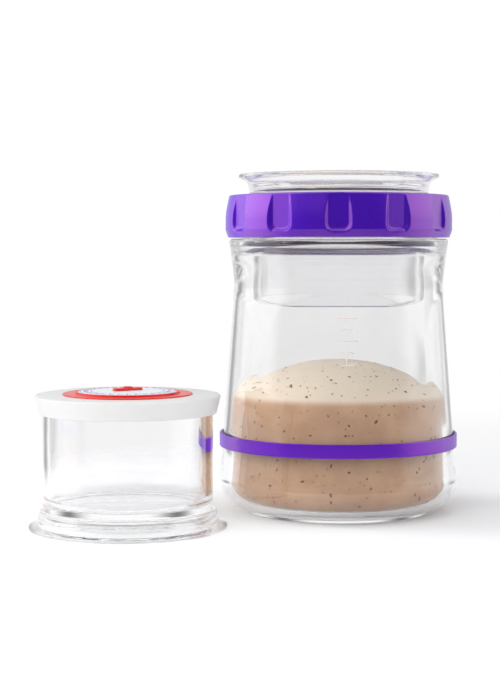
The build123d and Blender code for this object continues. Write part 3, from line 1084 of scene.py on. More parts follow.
    def outline(self) -> list[Point]:
        """Draws the whole outline.

        Returns:
            Points from the middle of the foot round the outside, over the rim and down the inside.
        """
        foot_radius = self.heel_radius - self.foot_inset
        heel_middle = (self.heel_radius - self.heel_rounding, self.heel_height)
        foot_corner = (foot_radius - self.foot_edge, self.foot_edge)
        foot_arc = arc_run(foot_corner, self.foot_edge, -90, 0, self.foot_steps)
        foot = [(0.0, 0.0), *foot_arc, (foot_radius, self.foot_height)]
        heel = arc_run(heel_middle, self.heel_rounding, self.heel_start, 0, self.heel_steps)
        heights = self.outer_heights()
        side = list(zip(self.side_curve().radius(heights).tolist(), heights.tolist()))
        rounding = self.shoulder_rounding
        shoulder_middle = (self.shoulder_radius - rounding, self.body_height - rounding)
        shoulder = arc_run(shoulder_middle, rounding, 0, 90, self.corner_steps)
        neck_top = self.height - self.rim_rounding
        neck = [(self.neck_radius, float(z)) for z in np.arange(self.body_height, neck_top, self.neck_row)]
        outer_middle = (self.neck_radius - self.rim_rounding, neck_top)
        inner_middle = (self.bore_radius + self.rim_rounding, neck_top)
        outer_rim = arc_run(outer_middle, self.rim_rounding, 0, 90, self.corner_steps)
        inner_rim = arc_run(inner_middle, self.rim_rounding, 90, 180, self.corner_steps)
        inner_heel, inner_waist = self.inner_line()
        bulge = (self.shoulder_radius - self.wall, self.body_height - self.wall)
        throat = (self.bore_radius, self.body_height + self.wall / 2)
        wall_way = (inner_heel[0] - inner_waist[0], inner_heel[1] - inner_waist[1])
        throat_run = smooth_run([throat, bulge, inner_waist], ((0, -1), wall_way), self.throat_steps)
        corner = (inner_heel[0] - self.inner_rounding, inner_heel[1])
        inner_foot = arc_run(corner, self.inner_rounding, 0, -90, self.inner_heel_steps)
        outside = supported([foot, heel + side + shoulder, neck + outer_rim, inner_rim], closed=False)
        inside = supported([throat_run, inner_foot, [(0.0, self.floor)]], closed=False)
        return outside + inside

    def build(self, glass: bpy.types.Material) -> None:
        """Makes the jar."""
        piece = spun(self.outline(), self.columns(), False, self.shape).to_object("panelled_jar")
        dress(piece, glass, Body.JAR, "jar_glass")


@dataclass
class Starter:
    """Starter in the jar's foot, risen in a broad dome, a little uneven, with bran flakes in it."""

    jar: JarGlass
    foot: float = frame_size("starter_dough", LOW, Z)
    top: float = frame_size("starter_dough", HIGH, Z)
    foot_radius: float = frame_size("starter_dough", HIGH, X)
    level: float = 50.0
    gap: float = 0.4
    dome_share: float = 0.55
    foot_rounding: float = 8.6
    unevenness: float = 0.35
    lump_size: float = 11.0
    fine_lump_share: float = 0.25
    fine_lump_factor: float = 3.1
    row: float = 1.5
    foot_steps: int = 14
    dome_rows: int = 40
    column_count: int = 200
    flake_count: int = 760
    flake_least: float = 0.24
    flake_most: float = 0.72
    flake_bias: float = 2.2
    flake_stretch: float = 0.9
    flake_reach: Point = (0.7, 0.5)
    flake_corners: int = 7
    flake_lift: float = 0.02
    flake_crown: float = 0.09
    lowest_slope: float = -0.6
    seed: int = 11

    def outline(self) -> list[Point]:
        """Draws the outline.

        Returns:
            Points from the middle of the foot up the side and over the dome.
        """
        corner = (self.foot_radius - self.foot_rounding, self.foot + self.foot_rounding)
        foot = arc_run(corner, self.foot_rounding, -90, 0, self.foot_steps)
        wall_radius = self.jar.inner_radius(self.level) - self.gap
        share = np.linspace(0, 1, self.dome_rows)[:, None]
        back = 1 - share
        rise = self.top - self.level
        pulls = [
            (wall_radius, self.level),
            (wall_radius, self.level + self.dome_share * rise),
            (self.dome_share * wall_radius, self.top),
            (0.0, self.top),
        ]
        weights = (back**3, 3 * share * back**2, 3 * share**2 * back, share**3)
        dome = sum(weight * np.array(pull) for weight, pull in zip(weights, pulls))
        side = self.close_rows([foot[-1], (wall_radius, self.level)])
        line = [(float(radius), float(height)) for radius, height in dome[1:-1]]
        return [(0.0, self.foot), *foot, *side[1:], *line, (0.0, self.top)]

    def close_rows(self, line: Sequence[Point]) -> list[Point]:
        """Adds points to a line, so that the noise can shape its straight parts.

        Args:
            line: points of the line.

        Returns:
            The same line with close points.
        """
        rows: list[Point] = []
        for here, after in zip(line, line[1:]):
            count = max(1, round(math.dist(here, after) / self.row))
            way = np.array(after) - here
            rows.extend(tuple(np.array(here) + way * step / count) for step in range(count))
        return [*rows, line[-1]]

    def uneven(self, shell: Shell) -> Shell:
        """Sinks the surface by a slow noise, and never lifts it, so that it keeps its gap to the glass.

        Args:
            shell: even surface.

        Returns:
            The uneven surface.
        """
        spots = shell.vertices.copy()
        middle = np.array([0, 0, (self.foot + self.top) / 2])
        for index, spot in enumerate(spots):
            depth = 0.5 + 0.5 * noise.noise(Vector(spot / self.lump_size))
            fine_spot = Vector(spot / self.lump_size * self.fine_lump_factor)
            depth += self.fine_lump_share * (0.5 + 0.5 * noise.noise(fine_spot))
            spots[index] = spot - unit(spot - middle) * depth * self.unevenness
        return Shell(spots, shell.faces)

    def flakes(self, dough: bpy.types.Object) -> Shell:
        """Irregular flakes on the dough's surface, lying flat against it.

        Args:
            dough: finished dough, which gives the places and directions.

        Returns:
            All flakes as one shell.
        """
        draw = np.random.default_rng(self.seed)
        faces = [face for face in dough.data.polygons if face.normal.z > self.lowest_slope]
        areas = np.array([face.area for face in faces])
        chosen = draw.choice(len(faces), self.flake_count, p=areas / areas.sum())
        vertices, polygons = [], []
        for number in chosen:
            normal = np.array(faces[number].normal)
            centre = np.array(faces[number].center) / MM
            across = unit(np.cross(normal, draw.normal(size=3)))
            along = np.cross(normal, across)
            size = self.flake_least + (self.flake_most - self.flake_least) * draw.random() ** self.flake_bias
            stretch = 1 + self.flake_stretch * draw.random()
            middle = len(vertices)
            vertices.append(centre + normal * self.flake_crown)
            for corner in range(self.flake_corners):
                angle = TAU * corner / self.flake_corners
                reach = size * (self.flake_reach[0] + self.flake_reach[1] * draw.random())
                vertices.append(centre + normal * self.flake_lift + reach * (
                    across * math.cos(angle) * stretch + along * math.sin(angle)))
                beside = (corner + 1) % self.flake_corners
                polygons.append([middle, middle + 1 + corner, middle + 1 + beside])
        return Shell(np.array(vertices), polygons)

    def build(self, dough: bpy.types.Material, bran: bpy.types.Material) -> None:
        """Makes the dough and its flakes.

        Args:
            dough: finish of the dough.
            bran: finish of the flakes.
        """
        surface = self.uneven(spun(self.outline(), turn_columns(self.column_count), closed=False))
        piece = surface.to_object("starter_surface")
        dress(piece, dough, Body.JAR, "starter_dough")
        dress(self.flakes(piece).to_object("bran_flakes"), bran, Body.JAR)


@dataclass
class LevelBand:
    """Elastic band round the jar, with softly rounded edges."""

    low: float = frame_size("level_band", LOW, Z)
    high: float = frame_size("level_band", HIGH, Z)
    radius: float = frame_reach("level_band")
    thickness: float = 1.1
    rounding: float = 0.45
    column_count: int = 288

    def build(self, rubber: bpy.types.Material) -> None:
        """Makes the band.

        Args:
            rubber: finish of the band.
        """
        inner = self.radius - self.thickness
        outline = rounded_outline([
            (inner, self.low, self.rounding),
            (self.radius, self.low, self.rounding),
            (self.radius, self.high, self.rounding),
            (inner, self.high, self.rounding),
        ])
        piece = spun(outline, turn_columns(self.column_count)).to_object("elastic_band")
        dress(piece, rubber, Body.BAND, "level_band")


@dataclass
class ScrewRing:
    """Screw ring: twelve flat-floored notches in a softly tapered wall, a raised collar, an inner thread."""

    bottom: float = frame_size("screw_ring", LOW, Z)
    top: float = frame_size("screw_ring", HIGH, Z)
    radius: float = 53.0
    wall: float = 4.1
    top_inset: float = 1.8
    foot_inset: float = 1.3
    foot_chamfer: float = 3.5
    taper_height: float = 8.5
    taper_round: float = 30.0
    collar_height: float = 0.5
    plate: float = 1.3
    collar_radius: float = 44.0
    collar_bevel: float = 1.3
    opening_radius: float = 42.3
    edge: float = 0.3
    flute_count: int = 12
    flute_turn: float = -3.0
    flute_depth: float = 1.9
    flute_half_width: float = 4.6
    flute_bottom: float = 3.9
    flute_corner: float = 2.2
    floor_softness: float = 0.2
    flute_softness: float = 0.14
    cut_margin: float = 0.5
    top_rounding: float = 0.8
    row: float = 0.45
    corner_steps: int = 5
    column_count: int = 240
    flute_columns: tuple[float, float, float] = (3.6, 9.2, 0.4)
    crease: float = 40.0
    thread: ScrewThread = ScrewThread(130.48, math.radians(190.8))

    def __post_init__(self) -> None:
        """Works out the sizes that follow from the fields."""
        self.bore_radius = self.radius - self.wall
        self.body_top = self.top - self.collar_height
        self.ceiling = self.body_top - self.plate

    def flute(self, height: np.ndarray, turn: np.ndarray) -> np.ndarray:
        """Finds how far the nearest notch's surface is from the axis.

        Args:
            height: heights of the points.
            turn: turns of the points.

        Returns:
            Distance of the notch's surface at each point.
        """
        pitch = TAU / self.flute_count
        off = (turn - math.radians(self.flute_turn) + pitch / 2) % pitch - pitch / 2
        floor = self.radius - self.flute_depth
        across = np.abs(self.radius * np.sin(off)) - (self.flute_half_width - self.flute_corner)
        down = self.bottom + self.flute_bottom + self.flute_corner - height
        beyond = np.hypot(np.maximum(across, 0), np.maximum(down, 0))
        within = np.minimum(np.maximum(across, down), 0)
        slope = beyond + within - self.flute_corner
        return (floor - smooth_min(-slope, np.zeros_like(slope), self.floor_softness)) / np.cos(off)

    def shape(self, radius: np.ndarray, height: np.ndarray, turn: np.ndarray) -> np.ndarray:
        """Cuts the notches and raises the inner thread.

        Args:
            radius: radii of the points of the turned outline.
            height: heights of the points.
            turn: turns of the points.

        Returns:
            The new radii.
        """
        notched = smooth_min(radius, self.flute(height, turn), self.flute_softness)
        cut = np.where(radius > self.bore_radius + self.cut_margin, notched, radius)
        in_bore = np.abs(radius - self.bore_radius) < NEAR
        return np.where(in_bore, radius - self.thread.relief(height, turn), cut)

    def outline(self) -> list[Point]:
        """Draws the closed outline, with close rows up the wall and the bore.

        Returns:
            Points of the outline.
        """
        corners = rounded_outline([
            (self.bore_radius, self.bottom, self.edge),
            (self.radius - self.foot_inset, self.bottom, self.edge),
            (self.radius, self.bottom + self.foot_chamfer, 2 * self.edge),
            (self.radius, self.body_top - self.taper_height, self.taper_round),
            (self.radius - self.top_inset, self.body_top, self.top_rounding),
            (self.collar_radius, self.body_top, self.edge),
            (self.collar_radius - self.collar_bevel, self.top, self.edge / 2),
            (self.opening_radius, self.top, 0),
            (self.opening_radius, self.ceiling, 0),
            (self.bore_radius, self.ceiling, self.edge),
        ], steps=self.corner_steps)
        outline: list[Point] = []
        for index, here in enumerate(corners):
            after = np.array(corners[(index + 1) % len(corners)])
            start = np.array(here)
            upright = abs(after[1] - start[1])
            count = max(1, int(upright / self.row)) if start[0] > self.bore_radius - NEAR else 1
            outline.extend(tuple(start + (after - start) * step / count) for step in range(count))
        return outline

    def build(self, plastic: bpy.types.Material) -> None:
        """Makes the ring.

        Args:
            plastic: finish of the ring.
        """
        pitch = TAU / self.flute_count
        edges = np.radians(np.arange(*self.flute_columns))
        middles = math.radians(self.flute_turn) + pitch * np.arange(self.flute_count)
        finer = np.concatenate([middles[:, None] + edges, middles[:, None] - edges], axis=None)
        wrapped = (finer + math.pi) % TAU - math.pi
        shell = spun(self.outline(), turn_columns(self.column_count, wrapped), True, self.shape)
        piece = shell.to_object("fluted_ring", crease=self.crease)
        dress(piece, plastic, Body.RING, "screw_ring")


@dataclass
class RingGasket:
    """Soft washer on the jar's rim with a sleeve that stands up in the ring's opening."""

    low: float = frame_size("ring_gasket", LOW, Z)
    high: float = frame_size("ring_gasket", HIGH, Z)
    radius: float = frame_size("ring_gasket", HIGH, X)
    inner: float = 40.5
    sleeve: float = 41.9
    thickness: float = 1.6
    edge: float = 0.2
    corner_steps: int = 4
    column_count: int = 192

    def build(self, silicone: bpy.types.Material) -> None:
        """Makes the gasket.

        Args:
            silicone: finish of the gasket.
        """
        washer_top = self.low + self.thickness
        outline = rounded_outline([
            (self.inner, self.low, self.edge),
            (self.radius, self.low, self.edge),
            (self.radius, washer_top, self.edge),
            (self.sleeve, washer_top, self.edge),
            (self.sleeve, self.high, self.edge),
            (self.inner, self.high, self.edge),
        ], steps=self.corner_steps)
        piece = spun(outline, turn_columns(self.column_count)).to_object("sleeved_gasket")
        dress(piece, silicone, Body.GASKET, "ring_gasket")


@dataclass
class SmallGlass:
    """Small straight glass on a flared hollow foot; share sizes all of it but the height."""

    node: str
    name: str
    body: Body
    share: float = 1.0
    upside_down: bool = False
    radius: float = 40.2
    wall: float = 3.3
    step_width: float = 1.5
    step_height: float = 9.1
    flange_reach: float = 6.58
    flange_edge: float = 1.4
    flare_reach: float = 2.4
    flare_height: float = 3.6
    flare_rounding: float = 2.5
    floor_height: float = 11.2
    web: float = 4.2
    recess_inset: float = 3.2
    recess_reach: float = 1.4
    edge: float = 0.6
    step_edge: float = 0.25
    rim_rounding: float = 1.5
    inner_rounding: float = 5.0
    corner_steps: int = 9
    column_count: int = 256

    def outline(self, height: float) -> list[Point]:
        """Draws the outline of the glass on its foot.

        Args:
            height: height of the whole glass.

        Returns:
            Points from the roof of the recess round the outside to the floor.
        """
        outer = self.radius
        inner = outer - self.wall
        corners = [
            (0.0, self.floor_height - self.web, 0.0),
            (outer - self.recess_inset, self.floor_height - self.web, self.flare_rounding),
            (outer + self.recess_reach, 0.0, self.edge),
            (outer + self.flange_reach, 0.0, self.edge),
            (outer + self.flange_reach, self.flange_edge, self.edge),
            (outer + self.flare_reach, self.flare_height, self.flare_rounding),
            (outer + self.step_width, self.step_height, self.edge),
            (outer, self.step_height, self.step_edge),
            (outer, height / self.share, self.rim_rounding),
            (inner, height / self.share, self.rim_rounding),
            (inner, self.floor_height, self.inner_rounding),
            (0.0, self.floor_height, 0.0),
        ]
        scaled = [tuple(self.share * size for size in corner) for corner in corners]
        return rounded_outline(scaled, closed=False, steps=self.corner_steps)

    def build(self, glass: bpy.types.Material) -> None:
        """Makes the glass in the place and the way up of its node.

        Args:
            glass: finish of the glass.
        """
        low, high = box_mm(self.node)
        outline = self.outline(float(high[2] - low[2]))
        if self.upside_down:
            outline = [(radius, float(high[2]) - height) for radius, height in outline]
        middle = (low + high) / 2
        shell = spun(outline, turn_columns(self.column_count), closed=False)
        piece = shell.to_object(self.name, (middle[0], middle[1], 0))
        dress(piece, glass, self.body, self.node)


@dataclass
class PotLid:
    """Dated lid: white shell, plug seal, red bezel, printed date disc, and a red pointer on a stem."""

    pot_radius: float = 37.788
    pot_wall: float = 3.102
    gap: float = 0.35
    foot_wall: float = 1.1
    plate: float = 2.0
    edge_rounding: float = 0.9
    plug_depth: float = 6.0
    plug_wall: float = 2.6
    plug_gap: float = 1.4
    boss_radius: float = 4.6
    boss_length: float = 7.0
    groove_depth: float = 0.8
    seal_height: float = 3.2
    seal_gap: float = 0.3
    seal_drop: float = 1.4
    slack: float = 0.05
    bezel_flange: float = 0.6
    rim_radius: float = 23.0
    rim_wall: float = 1.0
    bezel_inner: float = 17.0
    disc_edge: float = 0.8
    disc_crown: float = 0.2
    hub_radius: float = 8.5
    hole_radius: float = 1.8
    bar_length: float = 14.0
    bar_width: float = 4.4
    bar_thickness: float = 1.1
    bar_rounding: float = 0.5
    bump_radius: float = 2.3
    bar_angle: float = 32.0
    stem_radius: float = 1.5
    stem_fit: float = 0.05
    number_count: int = 31
    number_radius: float = 18.6
    number_size: float = 2.7
    number_relief: float = 0.05
    grommet_radius: float = 2.8
    grommet_length: float = 2.2
    foot_edge: float = 0.35
    edge: float = 0.3
    fine_edge: float = 0.2
    root: float = 0.5
    small_edge: float = 0.25
    seal_waist: float = 0.4
    fine_root: float = 0.1
    disc_rounding: float = 0.15
    bar_gap: float = 0.1
    bar_foot: float = 0.3
    stem_rounding: float = 0.4
    corner_steps: int = 5
    bar_steps: int = 6
    bush_columns: int = 48
    disc_columns: int = 240
    bump_columns: int = 40
    stem_columns: int = 32
    clip_columns: int = 64

    def __post_init__(self) -> None:
        """Reads the lid's place and heights from the frame."""
        low, high = box_mm("lid_shell")
        self.place = (float(low[0] + high[0]) / 2, float(low[1] + high[1]) / 2, 0.0)
        self.skirt_bottom = float(low[2])
        self.top = float(high[2])
        self.radius = float(high[0] - low[0]) / 2
        self.face = self.top - self.plate
        self.plug_radius = self.pot_radius - self.pot_wall - self.plug_gap
        self.boss_bottom = self.top - self.boss_length
        self.disc_low, self.disc_top, self.disc_radius = self.lathed_size("date_disc")

    def lathe(self, name: str, corners: Sequence[Corner], columns: int = 200) -> bpy.types.Object:
        """Makes a piece turned about the lid's axis.

        Args:
            name: name of the piece.
            corners: radius, height and rounding of each corner of its outline.
            columns: number of columns round it.

        Returns:
            The new piece.
        """
        outline = rounded_outline(corners, steps=self.corner_steps)
        return spun(outline, turn_columns(columns)).to_object(name, self.place)

    def lathed_size(self, node: str) -> tuple[float, float, float]:
        """Reads the size of a node that is turned about the lid's axis.

        Args:
            node: node of the frame.

        Returns:
            Height of its foot, height of its top, and radius.
        """
        low, high = box_mm(node)
        return float(low[2]), float(high[2]), float(high[0]) - self.place[0]

    def build_shell(self, plastic: bpy.types.Material) -> None:
        """Makes the shell: tapered skirt, flat top, grooved plug and bored boss.

        Args:
            plastic: finish of the shell.
        """
        skirt_inner = self.pot_radius + self.gap
        groove_top = self.face - self.seal_drop
        groove_bottom = groove_top - self.seal_height
        groove_radius = self.plug_radius - self.groove_depth
        plug_bottom = self.face - self.plug_depth
        plug_inner = self.plug_radius - self.plug_wall
        bore = self.stem_radius + self.stem_fit
        grommet_top = self.boss_bottom + self.grommet_length
        piece = self.lathe("lid_cover", [
            (bore, self.top, 0),
            (self.radius, self.top, self.edge_rounding),
            (skirt_inner + self.foot_wall, self.skirt_bottom, self.foot_edge),
            (skirt_inner, self.skirt_bottom, self.fine_edge),
            (skirt_inner, self.face, self.edge),
            (self.plug_radius, self.face, self.edge),
            (self.plug_radius, groove_top, 0),
            (groove_radius, groove_top, 0),
            (groove_radius, groove_bottom, 0),
            (self.plug_radius, groove_bottom, 0),
            (self.plug_radius, plug_bottom, self.edge),
            (plug_inner, plug_bottom, self.edge),
            (plug_inner, self.face, self.root),
            (self.boss_radius, self.face, self.root),
            (self.boss_radius, self.boss_bottom, self.edge),
            (self.grommet_radius, self.boss_bottom, 0),
            (self.grommet_radius, grommet_top, 0),
            (bore, grommet_top, 0),
        ])
        dress(piece, plastic, Body.LID, "lid_shell")

    def build_seals(self, silicone: bpy.types.Material) -> None:
        """Makes the lipped seal in the plug's groove and the bush round the stem.

        Args:
            silicone: finish of both.
        """
        inner = self.plug_radius - self.groove_depth + self.slack
        outer = self.pot_radius - self.pot_wall - self.seal_gap
        high = self.face - self.seal_drop - self.slack
        low = high - self.seal_height + 2 * self.slack
        seal = self.lathe("plug_seal", [
            (inner, low, 0),
            (outer, low, self.small_edge),
            (outer - self.groove_depth / 2, (low + high) / 2, self.seal_waist),
            (outer, high, self.small_edge),
            (inner, high, 0),
        ])
        dress(seal, silicone, Body.LID, "lid_seal")
        foot, head, radius = self.lathed_size("stem_grommet")
        bore = self.stem_radius + self.stem_fit
        bush = self.lathe("stem_bush", [
            (bore, foot, self.fine_edge),
            (radius, foot, self.fine_edge),
            (radius, head, self.fine_edge),
            (bore, head, self.fine_edge),
        ], self.bush_columns)
        dress(bush, silicone, Body.LID, "stem_grommet")

    def build_bezel(self, plastic: bpy.types.Material) -> None:
        """Makes the bezel: a flat ring and the raised rim that the disc turns in.

        Args:
            plastic: finish of the bezel.
        """
        low, high = box_mm("dial_bezel")
        radius = float(high[0] - low[0]) / 2
        flange_top = self.top + self.bezel_flange
        rim_inner = self.rim_radius - self.rim_wall
        piece = self.lathe("red_bezel", [
            (self.bezel_inner, self.top, 0),
            (radius, self.top, 0),
            (radius, flange_top, self.edge),
            (self.rim_radius, flange_top, self.small_edge),
            (self.rim_radius, float(high[2]), self.edge),
            (rim_inner, float(high[2]), self.edge),
            (rim_inner, flange_top, self.fine_root),
            (self.bezel_inner, flange_top, self.fine_root),
        ])
        dress(piece, plastic, Body.LID, "dial_bezel")

    def build_disc(self, printed: bpy.types.Material, ink: bpy.types.Material) -> None:
        """Makes the date disc and the numbers that stand round it.

        Args:
            printed: finish of the disc.
            ink: finish of the numbers.
        """
        edge_top = self.disc_low + self.disc_edge
        piece = self.lathe("printed_disc", [
            (self.hole_radius, self.disc_low, 0),
            (self.disc_radius, self.disc_low, self.disc_rounding),
            (self.disc_radius, edge_top, self.edge),
            (self.hub_radius, self.disc_top, self.fine_root),
            (self.hole_radius, self.disc_top, self.disc_rounding),
        ], self.disc_columns)
        dress(piece, printed, Body.DISC, "date_disc")
        slope = self.disc_crown / (self.disc_radius - self.hub_radius)
        height = edge_top + slope * (self.disc_radius - self.number_radius)
        lean = math.atan(slope)
        shell = Shell(np.zeros((0, 3)), [])
        for index in range(self.number_count):
            digits = self.digits(str(index + 1))
            up = digits.vertices[:, 1]
            tilted = np.stack([
                digits.vertices[:, 0],
                self.number_radius + up * math.cos(lean),
                height - up * math.sin(lean) + digits.vertices[:, 2],
            ], axis=-1)
            shell = shell.joined(Shell(tilted, digits.faces).turned(-TAU * index / self.number_count))
        dress(shell.to_object("date_numbers", self.place), ink, Body.DISC)

    def digits(self, text: str) -> Shell:
        """Makes the shell of a number.

        Args:
            text: digits of the number.

        Returns:
            Shell with its middle at the origin and its top towards +Y.
        """
        curve = bpy.data.curves.new("number", "FONT")
        curve.body = text
        curve.size = self.number_size * MM
        curve.align_x = "CENTER"
        curve.align_y = "CENTER"
        curve.extrude = self.number_relief * MM
        curve.resolution_u = 3
        holder = bpy.data.objects.new("number", curve)
        mesh = bpy.data.meshes.new_from_object(holder)
        vertices = np.array([vertex.co for vertex in mesh.vertices]) / MM
        faces = [list(face.vertices) for face in mesh.polygons]
        bpy.data.objects.remove(holder)
        bpy.data.curves.remove(curve)
        bpy.data.meshes.remove(mesh)
        return Shell(vertices, faces)

    def build_pointer(self, red: bpy.types.Material, white: bpy.types.Material) -> None:
        """Makes the pointer's bar, bump and stem, and the washer that holds the stem.

        Args:
            red: finish of the pointer.
            white: finish of the washer.
        """
        foot, head, _ = self.lathed_size("pointer_knob")
        bar_low = self.disc_top + self.bar_gap
        bar_top = bar_low + self.bar_thickness
        bar_middle = bar_low + self.bar_thickness / 2
        corner = self.bar_width / 2 - self.bar_rounding
        insets = arc_run((0.0, bar_top - self.bar_rounding), self.bar_rounding, 0, 90, self.bar_steps)
        levels = [(0.0, bar_low), (0.0, bar_low + self.bar_foot)]
        levels += [(self.bar_rounding - reach, height) for reach, height in insets]
        loops = [rounded_loop(self.bar_length / 2 - inset, self.bar_width / 2 - inset,
                              corner - min(inset, corner / 2), height) for inset, height in levels]
        bump = spun(rounded_outline([
            (0, bar_middle, 0),
            (self.bump_radius, bar_middle, 0),
            (self.bump_radius, head, self.bar_rounding),
            (0, head, 0),
        ], closed=False), turn_columns(self.bump_columns), closed=False)
        stem = spun(rounded_outline([
            (0, foot, 0),
            (self.stem_radius, foot, self.stem_rounding),
            (self.stem_radius, bar_middle, 0),
            (0, bar_middle, 0),
        ], closed=False), turn_columns(self.stem_columns), closed=False)
        whole = stacked(loops).joined(bump).joined(stem).turned(math.radians(self.bar_angle))
        dress(whole.to_object("pointer_bar", self.place), red, Body.POINTER, "pointer_knob")
        clip_foot, clip_head, clip_radius = self.lathed_size("knob_clip")
        clip = self.lathe("stem_washer", [
            (self.stem_radius, clip_foot, 0),
            (clip_radius, clip_foot, self.small_edge),
            (clip_radius, clip_head, self.small_edge),
            (self.stem_radius, clip_head, 0),
        ], self.clip_columns)
        dress(clip, white, Body.POINTER, "knob_clip")


# Studio


@dataclass(frozen=True)
class Lamp:
    """Soft rectangular lamp: place, aim and size in metres, and its share of full light.

    The light goes through the pieces named in passed, as if they weren't in its way. Where leaves_passed_dark
    is set, it doesn't light them either.
    """

    name: str
    place: tuple[float, float, float]
    aim: tuple[float, float, float]
    size: Point
    level: float
    passed: tuple[str, ...] = ()
    leaves_passed_dark: bool = False

    def build(self) -> None:
        """Makes the lamp. It isn't seen itself: the boxes that glossy pieces mirror come from the world."""
        light = bpy.data.lights.new(self.name, "AREA")
        light.shape = "RECTANGLE"
        light.size, light.size_y = self.size
        way = Vector(self.aim) - Vector(self.place)
        # This energy lights a white surface at the aim to the lamp's share of white.
        light.energy = self.level * math.pi**2 * way.length_squared
        holder = bpy.data.objects.new(self.name, light)
        holder.location = self.place
        holder.rotation_euler = way.to_track_quat("-Z", "Y").to_euler()
        holder.visible_camera = False
        holder.visible_transmission = False
        holder.visible_glossy = False
        if self.passed:
            holder.light_linking.blocker_collection = self.passed_pieces()
        if self.leaves_passed_dark:
            holder.light_linking.receiver_collection = self.passed_pieces()
        bpy.context.scene.collection.objects.link(holder)

    def passed_pieces(self) -> bpy.types.Collection:
        """Lists the passed pieces in the form that the lamp's links take.

        Returns:
            Collection that leaves the passed pieces out.
        """
        pieces = bpy.data.collections.new(f"{self.name}_passes")
        for name in self.passed:
            pieces.objects.link(bpy.data.objects[name])
        for entry in pieces.collection_objects:
            entry.light_linking.link_state = "EXCLUDE"
        return pieces


